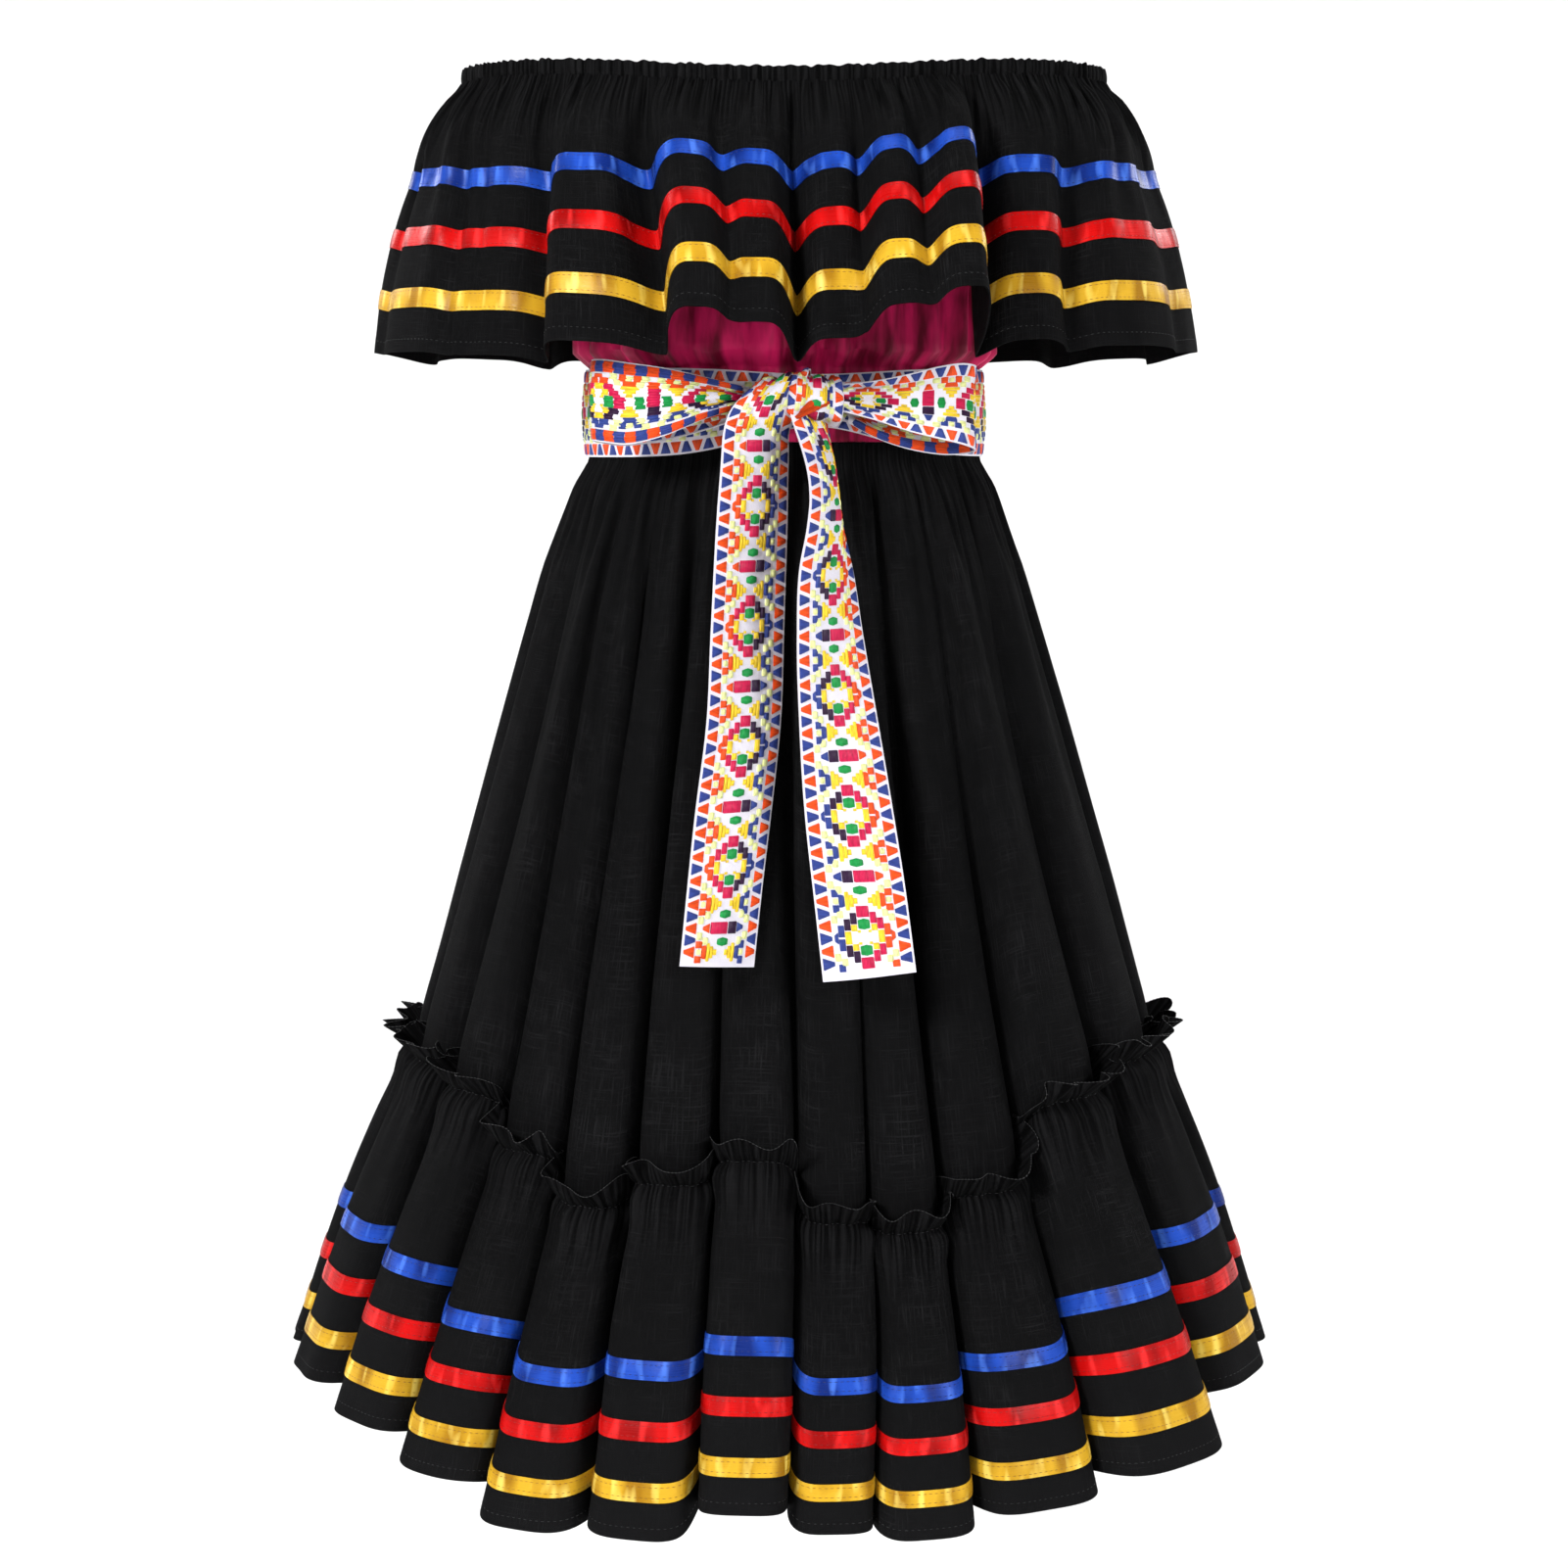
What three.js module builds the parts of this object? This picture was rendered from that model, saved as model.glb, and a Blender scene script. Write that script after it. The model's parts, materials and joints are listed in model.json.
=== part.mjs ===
// A girl's off-the-shoulder folk dress, worn and hollow: a gathered flounce collar, a bodice,
// a black skirt with a hem flounce, three satin ribbons on each flounce, and a woven sash in a bow.
// Millimetres. The origin is the middle of the neckline opening, +Z is up and -Y is the front.
import * as THREE from 'three';
import { mergeVertices } from 'three/addons/utils/BufferGeometryUtils.js';

// ---- Driving dimensions ----------------------------------------------------------------------
const CLOTH = 1.0; // wall of the cotton
const SEAM_GAP = 0.3; // between pieces that are sewn together
const HALF_GAP = SEAM_GAP / 2;
const STACKED = CLOTH + SEAM_GAP; // from the middle of one wall to the middle of the next

const NECK = { width: 184, depth: 94, dip: 8, dipPower: 6 }; // half sizes of the elastic neckline
const CASING = { height: 10, wall: 2.3, gather: 0.9 };

const RIBBON_WIDTH = 11;
const RIBBON_WALL = 1.0;

const COLLAR_LENGTH = 161; // cloth from the casing to the collar's hem
const COLLAR_BEND = 60; // cloth distance at which the middle outward travel is given
const COLLAR_RIBBONS = { blue: 60, red: 95.5, yellow: 131 }; // cloth distance to each ribbon's middle
const COLLAR_PUFF = 5; // how far the cloth rounds out just below the casing
const COLLAR_GATHER = { depth: 1.1, reach: 45 }; // small gathers below the casing
const COLLAR_ROWS = [0, 24, COLLAR_LENGTH]; // cloth distances of rows besides the ribbons' edges

const WAIST = { width: 112.5, depth: 83, level: -212, gather: 1.2 };
const SEAM = { width: 222.5, depth: 175 }; // fold crests at the seam of the hem flounce
const HEM = { width: 292, depth: 232 }; // fold crests at the hem
const HEM_FOLD = 31; // depth of an average fold at the hem
const SEAM_FOLD = 13; // its depth at the flounce seam
const TROUGH_LIFT = 3; // a trough's hem hangs this much higher
const TIER_LENGTH = 198; // cloth from the flounce seam to the hem
const HEADING = { cloth: 12, rise: 8, flare: 9, wave: 1.6 }; // gathered frill above the flounce seam
const TIER_RIBBONS = { blue: 103, red: 137, yellow: 171 };
const TIER_BELLY = 4;
const TIER_ROWS = [-HEADING.cloth, 0, 48, TIER_LENGTH];

const SASH = { width: 50, wall: 1.0, bandWidth: 116, bandDepth: 86.5, top: -170.5 };

// A fold is a broad rounded crest between narrow troughs. Sharpness keeps the crest broad, and
// swell moves its flanks outwards, as a share of the way from the crest to the trough.
const FOLD_SHARPNESS = 1.8;
const SWELL = { collar: 0.08, seam: 0.08, hem: 0.17 };
// Where columns of points lie between a crest and the trough after it, and from there to the next.
const FINE_STEPS = [[0.35, 0.75], [0, 0.25, 0.65]];
const COARSE_STEPS = [[0, 0.55], [0, 0.45]];

// ---- Folds: one row for each fold, angles round the ellipse from the front, in degrees --------
// Collar: mid and hem are outward travels of the cloth from the neckline, in millimetres. Rows
// are a crest, a trough, a crest and so on, from one side seam to the other.
const COLLAR_RIGHT_SIDE = { mid: 29, hem: 53 };
const COLLAR_LEFT_SIDE = { mid: 29, hem: 54 };
const COLLAR_FRONT = [
  { midAt: -90, hemAt: -90, ...COLLAR_RIGHT_SIDE },
  { midAt: -81, hemAt: -80, mid: 23, hem: 47 },
  { midAt: -71, hemAt: -69, mid: 27, hem: 50 },
  { midAt: -62, hemAt: -58, mid: 17, hem: 41 },
  { midAt: -51, hemAt: -48, mid: 23, hem: 44 },
  { midAt: -42, hemAt: -39, mid: 14, hem: 34 },
  { midAt: -34, hemAt: -31, mid: 36, hem: 65 },
  { midAt: -24, hemAt: -17, mid: 23, hem: 60 },
  { midAt: -15, hemAt: -11, mid: 46, hem: 99 },
  { midAt: -10, hemAt: -7, mid: 38, hem: 93 },
  { midAt: -4, hemAt: -3, mid: 42, hem: 90 },
  { midAt: 1, hemAt: 2, mid: 25, hem: 54 },
  { midAt: 7, hemAt: 7, mid: 40, hem: 74 },
  { midAt: 11, hemAt: 11, mid: 35, hem: 83 },
  { midAt: 16, hemAt: 15, mid: 47, hem: 99 },
  { midAt: 21, hemAt: 19, mid: 40, hem: 102 },
  { midAt: 27, hemAt: 24, mid: 49, hem: 108 },
  { midAt: 33, hemAt: 29, mid: 18, hem: 50 },
  { midAt: 41, hemAt: 36, mid: 34, hem: 67 },
  { midAt: 53, hemAt: 45, mid: 18, hem: 48 },
  { midAt: 65, hemAt: 57, mid: 30, hem: 59 },
  { midAt: 77, hemAt: 74, mid: 21, hem: 48 },
  { midAt: 90, hemAt: 90, ...COLLAR_LEFT_SIDE },
];
const COLLAR_BACK = [
  { midAt: 90, hemAt: 90, ...COLLAR_LEFT_SIDE },
  { midAt: 103, hemAt: 102, mid: 16, hem: 38 },
  { midAt: 115, hemAt: 114, mid: 27, hem: 50 },
  { midAt: 128, hemAt: 128, mid: 15, hem: 36 },
  { midAt: 140, hemAt: 141, mid: 28, hem: 54 },
  { midAt: 152, hemAt: 152, mid: 16, hem: 37 },
  { midAt: 164, hemAt: 165, mid: 31, hem: 59 },
  { midAt: 176, hemAt: 177, mid: 17, hem: 39 },
  { midAt: 188, hemAt: 187, mid: 28, hem: 53 },
  { midAt: 200, hemAt: 199, mid: 15, hem: 36 },
  { midAt: 212, hemAt: 213, mid: 30, hem: 56 },
  { midAt: 224, hemAt: 224, mid: 16, hem: 37 },
  { midAt: 236, hemAt: 235, mid: 27, hem: 52 },
  { midAt: 252, hemAt: 253, mid: 16, hem: 39 },
  { midAt: 270, hemAt: 270, ...COLLAR_RIGHT_SIDE },
];

// Skirt and hem flounce: the crest of each fold, the depth of the trough that follows it at the
// hem, and how far the crest is pushed out (or, below zero, curls in) at the hem.
const SKIRT_FRONT = [
  { seamAt: -71, hemAt: -74, seam: -568, hem: -749, depth: 30, push: 3 },
  { seamAt: -54, hemAt: -56, seam: -576, hem: -759, depth: 27, push: 0 },
  { seamAt: -41.5, hemAt: -42.5, seam: -604, hem: -775, depth: 28, push: 0 },
  { seamAt: -30, hemAt: -30, seam: -630, hem: -795, depth: 42, push: 0 },
  { seamAt: -16.5, hemAt: -15.5, seam: -614, hem: -792, depth: 34, push: 2 },
  { seamAt: -4, hemAt: -4, seam: -599, hem: -774, depth: 26, push: 6 },
  { seamAt: 7.5, hemAt: 5, seam: -634, hem: -789, depth: 24, push: -6 },
  { seamAt: 18, hemAt: 15.5, seam: -641, hem: -794, depth: 34, push: -4 },
  { seamAt: 31, hemAt: 29, seam: -623, hem: -785, depth: 30, push: -3 },
  { seamAt: 46, hemAt: 48, seam: -577, hem: -773, depth: 36, push: 9 },
  { seamAt: 69, hemAt: 70, seam: -564, hem: -746, depth: 30, push: -1 },
];
const SKIRT_BACK = [
  { seamAt: 107, hemAt: 107, seam: -566, hem: -748, depth: 30, push: 2 },
  { seamAt: 123, hemAt: 124, seam: -573, hem: -757, depth: 33, push: 0 },
  { seamAt: 139, hemAt: 139, seam: -584, hem: -768, depth: 29, push: 3 },
  { seamAt: 156, hemAt: 157, seam: -598, hem: -777, depth: 36, push: -2 },
  { seamAt: 173, hemAt: 172, seam: -606, hem: -783, depth: 31, push: 4 },
  { seamAt: 189, hemAt: 190, seam: -604, hem: -782, depth: 35, push: 0 },
  { seamAt: 207, hemAt: 207, seam: -594, hem: -776, depth: 30, push: 3 },
  { seamAt: 225, hemAt: 224, seam: -579, hem: -766, depth: 34, push: -2 },
  { seamAt: 239, hemAt: 240, seam: -572, hem: -755, depth: 28, push: 2 },
  { seamAt: 254, hemAt: 254, seam: -567, hem: -749, depth: 26, push: 0 },
];
const SKIRT_RIGHT_SIDE = { seam: -566, hem: -745, depth: 26, push: 3 };
const SKIRT_LEFT_SIDE = { seam: -564, hem: -744, depth: 26, push: -3 };

// Rows of the skirt from the waist down: share of the length, crest half sizes, share of the
// fold depth, and how far the waist's small gathers stand in and out.
const SKIRT_ROWS = [
  { down: 0, width: WAIST.width, depth: WAIST.depth, fold: 0, gather: WAIST.gather },
  { down: 0.028, width: 113, depth: 83.5, fold: 0, gather: WAIST.gather },
  { down: 0.07, width: 121.5, depth: 92, fold: 0.12, gather: 1.6 },
  { down: 0.2, width: 138, depth: 106, fold: 0.3, gather: 0.5 },
  { down: 0.45, width: 165, depth: 128, fold: 0.55, gather: 0 },
  { down: 0.72, width: 194, depth: 152, fold: 0.8, gather: 0 },
  { down: 1, width: SEAM.width, depth: SEAM.depth, fold: 1, gather: 0 },
];

// Bodice rows: level, half sizes, the front panel's half angle, share of the neckline's dip,
// small gathers, and soft folds.
const BODICE_TOP = -CASING.height - SEAM_GAP;
const WAIST_RING = { ...WAIST, edge: 90, dip: 0, fold: 0 };
const BODICE_ROWS = [
  { level: BODICE_TOP, width: 183.5, depth: 91.5, edge: 42.5, dip: 1, gather: 0.6, fold: 0 },
  { level: -36, width: 165, depth: 91.5, edge: 48.5, dip: 0.6, gather: 0, fold: 1.5 },
  { level: -64, width: 143, depth: 91.5, edge: 60, dip: 0.3, gather: 0, fold: 2 },
  { level: -92, width: 124, depth: 91.5, edge: 90, dip: 0, gather: 0, fold: 2.5 },
  { level: -128, width: 122, depth: 92, edge: 90, dip: 0, gather: 0, fold: 3 },
  { level: -161, width: 122, depth: 93, edge: 90, dip: 0, gather: 0.8, fold: 2.5 },
  { level: -169.5, width: 113, depth: 83.5, edge: 90, dip: 0, gather: WAIST.gather, fold: 0 },
  { ...WAIST_RING, level: -186 },
  { ...WAIST_RING, level: WAIST.level + HALF_GAP },
];
const BODICE_COLUMNS = 22;
const BODICE_FOLD_TURN = 2.3; // how fast the soft folds run round, in radians a column
const BODICE_FLAT_SIDES = 6; // power that keeps the folds away from the side edges

// Sash ends below the knot: level, place of the middle, and the turn away from facing front.
const TAIL_LEFT = [
  { level: -204.5, x: -15, y: -107, turn: 44, width: 45 },
  { level: -222, x: -15.5, y: -114, turn: 42, width: 49 },
  { level: -250, x: -17, y: -119, turn: 40, width: 50 },
  { level: -313, x: -20, y: -131, turn: 38, width: 50 },
  { level: -364, x: -22, y: -142, turn: 38, width: 50 },
  { level: -410, x: -27, y: -153, turn: 36, width: 50 },
  { level: -455, x: -32, y: -164, turn: 37, width: 50 },
  { level: -492, x: -36, y: -173, turn: 38, width: 50 },
];
const TAIL_RIGHT = [
  { level: -204.5, x: 18, y: -106, turn: 128, width: 38 },
  { level: -222, x: 19, y: -113, turn: 116, width: 46 },
  { level: -240, x: 20, y: -119, turn: 101, width: 50 },
  { level: -258, x: 21, y: -124, turn: 82, width: 50 },
  { level: -278, x: 22, y: -128, turn: 62, width: 50 },
  { level: -317, x: 25, y: -136, turn: 45, width: 50 },
  { level: -368, x: 30, y: -146, turn: 30, width: 50 },
  { level: -410, x: 35, y: -156, turn: 18, width: 50 },
  { level: -455, x: 41, y: -166, turn: 6, width: 50 },
  { level: -497, x: 46, y: -177, turn: 2, width: 50 },
];
const TAIL_ACROSS = 3; // strips across a sash end
const TAIL_CUP = 1.6; // how far its middle stands out

// Bow loops: place in plan along the loop from the front root round the fold to the back root,
// with the levels of its two edges.
const LOOP_LEFT = [
  { x: -27.2, y: -107, top: -179, bottom: -199 },
  { x: -44, y: -114, top: -176, bottom: -203 },
  { x: -64, y: -118, top: -172, bottom: -209 },
  { x: -84, y: -116, top: -169, bottom: -213 },
  { x: -98, y: -110, top: -167, bottom: -212 },
  { x: -105, y: -101, top: -167, bottom: -211 },
  { x: -103, y: -93, top: -168, bottom: -212 },
  { x: -88, y: -90, top: -170, bottom: -214 },
  { x: -66, y: -90, top: -174, bottom: -211 },
  { x: -46, y: -92, top: -178, bottom: -206 },
  { x: -27.2, y: -95, top: -180, bottom: -200 },
];
const LOOP_RIGHT = [
  { x: 35.2, y: -107, top: -180, bottom: -198 },
  { x: 50, y: -113, top: -179, bottom: -201 },
  { x: 68, y: -116, top: -175, bottom: -206 },
  { x: 84, y: -114, top: -171, bottom: -210 },
  { x: 97, y: -109, top: -169, bottom: -213 },
  { x: 105, y: -101, top: -170, bottom: -216 },
  { x: 103, y: -93, top: -172, bottom: -218 },
  { x: 89, y: -89, top: -175, bottom: -219 },
  { x: 70, y: -89, top: -178, bottom: -216 },
  { x: 52, y: -91, top: -181, bottom: -210 },
  { x: 35.2, y: -95, top: -182, bottom: -201 },
];
const KNOT = { x: 4, y: -100.8, level: -189, squareness: 4, segments: 16 };
const KNOT_HALF = { width: 31, depth: 13.5, height: 15 };
const BAND_COLUMNS = 40;
const BAND_SQUEEZE = { top: 4, bottom: 13, reach: 45 }; // the band narrows behind the knot

const FINISHES = {
  black: { color: 0x15151a, roughness: 0.92 },
  magenta: { color: 0x9c1f63, roughness: 0.85 },
  blue: { color: 0x2257d6, roughness: 0.3 },
  red: { color: 0xd8141a, roughness: 0.3 },
  yellow: { color: 0xe3b21c, roughness: 0.3 },
  sash: { color: 0xe6dfe2, roughness: 0.7 },
};

// ---- Geometry helpers --------------------------------------------------------------------------
const radians = THREE.MathUtils.degToRad;
const lerp = THREE.MathUtils.lerp;

/** A point on an ellipse round the dress, moved out along the ellipse's normal. */
function roundPoint(width, depth, degrees, out, level) {
  const angle = radians(degrees);
  const point = new THREE.Vector3(width * Math.sin(angle), -depth * Math.cos(angle), level);
  const outward = new THREE.Vector3(depth * Math.sin(angle), -width * Math.cos(angle), 0).normalize();
  return point.addScaledVector(outward, out);
}

/** Columns of points across folds. A column lies part of the way between two rows of the table. */
function foldColumns(folds, steps) {
  const columns = [];
  for (let i = 0; i < folds.length - 1; i += 1) {
    const [crest, trough] = i % 2 ? [folds[i + 1], folds[i]] : [folds[i], folds[i + 1]];
    const parts = [...steps[i % 2]];
    if (i === 0) parts[0] = 0;
    if (i === folds.length - 2) parts.push(1);
    parts.forEach((part) => columns.push({ crest, trough, fromCrest: i % 2 ? 1 - part : part }));
  }
  return columns.map((column, index) => ({ ...column, side: index % 2 ? 1 : -1 }));
}

/** A value that falls from a fold's crest to its trough along a broad rounded crest. */
function fall(column, name) {
  const share = THREE.MathUtils.smoothstep(column.fromCrest ** FOLD_SHARPNESS, 0, 1);
  return lerp(column.crest[name], column.trough[name], share);
}

/** An angle between a crest and a trough; swell moves the crest's flanks outwards. */
function slide(column, name, swell) {
  const share = column.fromCrest + swell * Math.sin(Math.PI * column.fromCrest);
  return lerp(column.crest[name], column.trough[name], share);
}

/** Unit normals of a grid of points, rows running down and columns to the right seen from outside. */
function gridNormals(grid, closed) {
  const last = grid[0].length - 1;
  const at = (row, column) => {
    const wrapped = closed ? (column + last + 1) % (last + 1) : THREE.MathUtils.clamp(column, 0, last);
    return grid[THREE.MathUtils.clamp(row, 0, grid.length - 1)][wrapped];
  };
  return grid.map((row, r) => row.map((_, c) => {
    const across = at(r, c + 1).clone().sub(at(r, c - 1));
    const down = at(r + 1, c).clone().sub(at(r - 1, c));
    return down.cross(across).normalize();
  }));
}

/** Turns the normals at a piece's side edges into the plane of the seam there. */
function squareSides(normals) {
  normals.forEach((row) => [row[0], row.at(-1)].forEach((normal) => normal.setY(0).normalize()));
}

/** Turns the normals of one row level, so that its edge is cut flat. */
function levelRow(row) {
  row.forEach((normal) => normal.setZ(0).normalize());
}

/** A closed wall between two offsets of a grid of points. */
function wallGeometry(grid, normals, inner, outer, closed) {
  const rows = grid.length;
  const columns = grid[0].length;
  const positions = [];
  [outer, inner].forEach((offset) => grid.forEach((row, r) => row.forEach((point, c) => {
    positions.push(...point.clone().addScaledVector(normals[r][c], offset).toArray());
  })));
  const faces = [];
  const outerAt = (r, c) => r * columns + (c % columns);
  const innerAt = (r, c) => rows * columns + outerAt(r, c);
  const quad = (a, b, c, d) => faces.push(a, b, c, a, c, d);
  const spans = closed ? columns : columns - 1;
  for (let c = 0; c < spans; c += 1) {
    for (let r = 0; r < rows - 1; r += 1) {
      quad(outerAt(r, c), outerAt(r + 1, c), outerAt(r + 1, c + 1), outerAt(r, c + 1));
      faces.push(innerAt(r, c), innerAt(r + 1, c + 1), innerAt(r + 1, c));
      faces.push(innerAt(r, c), innerAt(r, c + 1), innerAt(r + 1, c + 1));
    }
    quad(innerAt(0, c), outerAt(0, c), outerAt(0, c + 1), innerAt(0, c + 1));
    quad(outerAt(rows - 1, c), innerAt(rows - 1, c), innerAt(rows - 1, c + 1), outerAt(rows - 1, c + 1));
  }
  for (let r = 0; r < rows - 1 && !closed; r += 1) {
    const end = columns - 1;
    quad(outerAt(r, 0), innerAt(r, 0), innerAt(r + 1, 0), outerAt(r + 1, 0));
    quad(innerAt(r, end), outerAt(r, end), outerAt(r + 1, end), innerAt(r + 1, end));
  }
  const geometry = new THREE.BufferGeometry();
  geometry.setAttribute('position', new THREE.Float32BufferAttribute(positions, 3));
  geometry.setIndex(faces);
  geometry.computeVertexNormals();
  return geometry;
}

const dress = new THREE.Group();

function addPiece(name, geometry, finish) {
  const material = new THREE.MeshStandardMaterial({ ...FINISHES[finish], metalness: 0 });
  const mesh = new THREE.Mesh(geometry, material);
  mesh.name = name;
  dress.add(mesh);
}

/** A half panel's grid and normals. Its sides stop just short of y = 0, in front or behind. */
function halfPanel(grid, half) {
  grid.forEach((row) => [row[0], row.at(-1)].forEach((point) => point.setY(half * HALF_GAP)));
  const normals = gridNormals(grid, false);
  squareSides(normals);
  return { grid, normals };
}

function addPanel(name, { grid, normals }, finish) {
  addPiece(name, wallGeometry(grid, normals, -CLOTH / 2, CLOTH / 2, false), finish);
}

/** A ribbon all round, sewn on the front and back panels between two of their rows. */
function addRibbon(name, panels, row, finish) {
  const grid = [row, row + 1].map((r) => panels.flatMap((panel) => panel.grid[r]));
  const normals = [row, row + 1].map((r) => panels.flatMap((panel) => panel.normals[r]));
  const inner = CLOTH / 2 + SEAM_GAP;
  addPiece(name, wallGeometry(grid, normals, inner, inner + RIBBON_WALL, true), finish);
}

/** Rows of a flounce: its own, and the two edges of each ribbon. */
function rowsWithRibbons(plain, ribbons) {
  const edges = Object.values(ribbons).flatMap((middle) => [
    middle - RIBBON_WIDTH / 2,
    middle + RIBBON_WIDTH / 2,
  ]);
  return [...plain, ...edges].sort((a, b) => a - b);
}

// ---- Neckline ----------------------------------------------------------------------------------
const neckLevel = (degrees) => -NECK.dip * Math.abs(Math.cos(radians(degrees))) ** NECK.dipPower;

function neckCasing() {
  const halves = [COLLAR_FRONT, COLLAR_BACK].map((folds) => foldColumns(folds, COARSE_STEPS));
  const columns = halves.flatMap((half) => half.slice(0, -1));
  const grid = [0, -CASING.height].map((drop) => columns.map((column) => {
    const degrees = slide(column, 'midAt', 0);
    const gather = CASING.gather * column.side;
    return roundPoint(NECK.width, NECK.depth, degrees, gather, neckLevel(degrees) + drop);
  }));
  const normals = gridNormals(grid, true);
  normals.forEach(levelRow);
  addPiece('neck_casing', wallGeometry(grid, normals, -CASING.wall / 2, CASING.wall / 2, true), 'black');
}

// ---- Collar flounce ----------------------------------------------------------------------------
/** The parabola through (0, 0), (COLLAR_BEND, middle) and (COLLAR_LENGTH, end). */
function throughMiddle(distance, middle, end) {
  const span = COLLAR_LENGTH - COLLAR_BEND;
  const middleShare = (distance * (COLLAR_LENGTH - distance)) / (COLLAR_BEND * span);
  const endShare = (distance * (distance - COLLAR_BEND)) / (COLLAR_LENGTH * span);
  return middle * middleShare + end * endShare;
}

function collarPoint(column, distance) {
  const share = distance / COLLAR_LENGTH;
  const degrees = lerp(
    slide(column, 'midAt', 0),
    slide(column, 'hemAt', SWELL.collar),
    THREE.MathUtils.smoothstep(share, 0, 1),
  );
  const middleOut = fall(column, 'mid');
  const hemOut = fall(column, 'hem');
  const middleDrop = Math.sqrt(COLLAR_BEND ** 2 - middleOut ** 2);
  const hemDrop = middleDrop + Math.sqrt((COLLAR_LENGTH - COLLAR_BEND) ** 2 - (hemOut - middleOut) ** 2);
  const fade = Math.max(0, 1 - distance / COLLAR_GATHER.reach);
  const puff = COLLAR_PUFF * Math.sin(Math.PI * Math.min(distance / COLLAR_BEND, 1));
  const gather = COLLAR_GATHER.depth * column.side * fade;
  const out = throughMiddle(distance, middleOut, hemOut) + puff + gather;
  const drop = throughMiddle(distance, middleDrop, hemDrop);
  const level = neckLevel(degrees) - CASING.height - SEAM_GAP - drop;
  return roundPoint(NECK.width + STACKED / 2, NECK.depth + STACKED / 2, degrees, out, level);
}

function collar() {
  const distances = rowsWithRibbons(COLLAR_ROWS, COLLAR_RIBBONS);
  const halves = [
    { name: 'collar_flounce_front', folds: COLLAR_FRONT, half: -1 },
    { name: 'collar_flounce_back', folds: COLLAR_BACK, half: 1 },
  ];
  const panels = halves.map(({ name, folds, half }) => {
    const columns = foldColumns(folds, COARSE_STEPS);
    const grid = distances.map((distance) => columns.map((column) => collarPoint(column, distance)));
    const panel = halfPanel(grid, half);
    levelRow(panel.normals[0]);
    addPanel(name, panel, 'black');
    return panel;
  });
  Object.entries(COLLAR_RIBBONS).forEach(([color, middle]) => {
    const row = distances.indexOf(middle - RIBBON_WIDTH / 2);
    addRibbon(`collar_ribbon_${color}`, panels, row, color);
  });
}

// ---- Bodice ------------------------------------------------------------------------------------
function bodicePanel(name, half) {
  const grid = BODICE_ROWS.map((row) => {
    const points = [];
    for (let c = 0; c <= BODICE_COLUMNS; c += 1) {
      const across = (2 * c) / BODICE_COLUMNS - 1;
      const fromFront = row.edge * across;
      const degrees = half < 0 ? fromFront : 180 + fromFront;
      const inside = 1 - across ** BODICE_FLAT_SIDES;
      const fold = row.fold * Math.sin(BODICE_FOLD_TURN * c + half) * inside;
      const gather = row.gather * (c % 2 ? 1 : -1);
      const level = row.level + row.dip * neckLevel(degrees);
      points.push(roundPoint(row.width, row.depth, degrees, fold + gather, level));
    }
    return points;
  });
  const seamed = grid.filter((_, r) => BODICE_ROWS[r].edge === 90);
  seamed.forEach((row) => [row[0], row.at(-1)].forEach((point) => point.setY(half * HALF_GAP)));
  const normals = gridNormals(grid, false);
  squareSides(normals.slice(grid.length - seamed.length));
  levelRow(normals[0]);
  levelRow(normals.at(-1));
  addPiece(name, wallGeometry(grid, normals, -CLOTH / 2, CLOTH / 2, false), 'magenta');
}

// ---- Skirt and hem flounce ---------------------------------------------------------------------
/** Fold lines of a half: the crest at one side, then trough, crest, trough ... to the other side. */
function skirtFolds(flutes, startAt) {
  const sides = startAt < 0 ? [SKIRT_RIGHT_SIDE, SKIRT_LEFT_SIDE] : [SKIRT_LEFT_SIDE, SKIRT_RIGHT_SIDE];
  const [first, last] = sides.map((side, i) => ({
    ...side,
    seamAt: startAt + 180 * i,
    hemAt: startAt + 180 * i,
  }));
  const crests = [first, ...flutes, last];
  return crests.flatMap((crest, i) => {
    const line = { ...crest, seamOut: 0, hemOut: crest.push };
    if (i === crests.length - 1) return [line];
    const next = crests[i + 1];
    const trough = {
      seamAt: (crest.seamAt + next.seamAt) / 2,
      hemAt: (crest.hemAt + next.hemAt) / 2,
      seam: (crest.seam + next.seam) / 2,
      hem: (crest.hem + next.hem) / 2 + TROUGH_LIFT,
      seamOut: (-SEAM_FOLD * crest.depth) / HEM_FOLD,
      hemOut: (crest.push + next.push) / 2 - crest.depth,
    };
    return [line, trough];
  });
}

function seamPoint(column, inset) {
  const degrees = slide(column, 'seamAt', SWELL.seam);
  const out = fall(column, 'seamOut') - inset;
  return roundPoint(SEAM.width, SEAM.depth, degrees, out, fall(column, 'seam'));
}

function skirtPoint(column, row) {
  const degrees = slide(column, 'seamAt', SWELL.seam * row.fold);
  const top = WAIST.level - HALF_GAP;
  const level = lerp(top, fall(column, 'seam'), row.down);
  const out = fall(column, 'seamOut') * row.fold + row.gather * column.side - STACKED * row.down;
  return roundPoint(row.width, row.depth, degrees, out, level);
}

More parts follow.
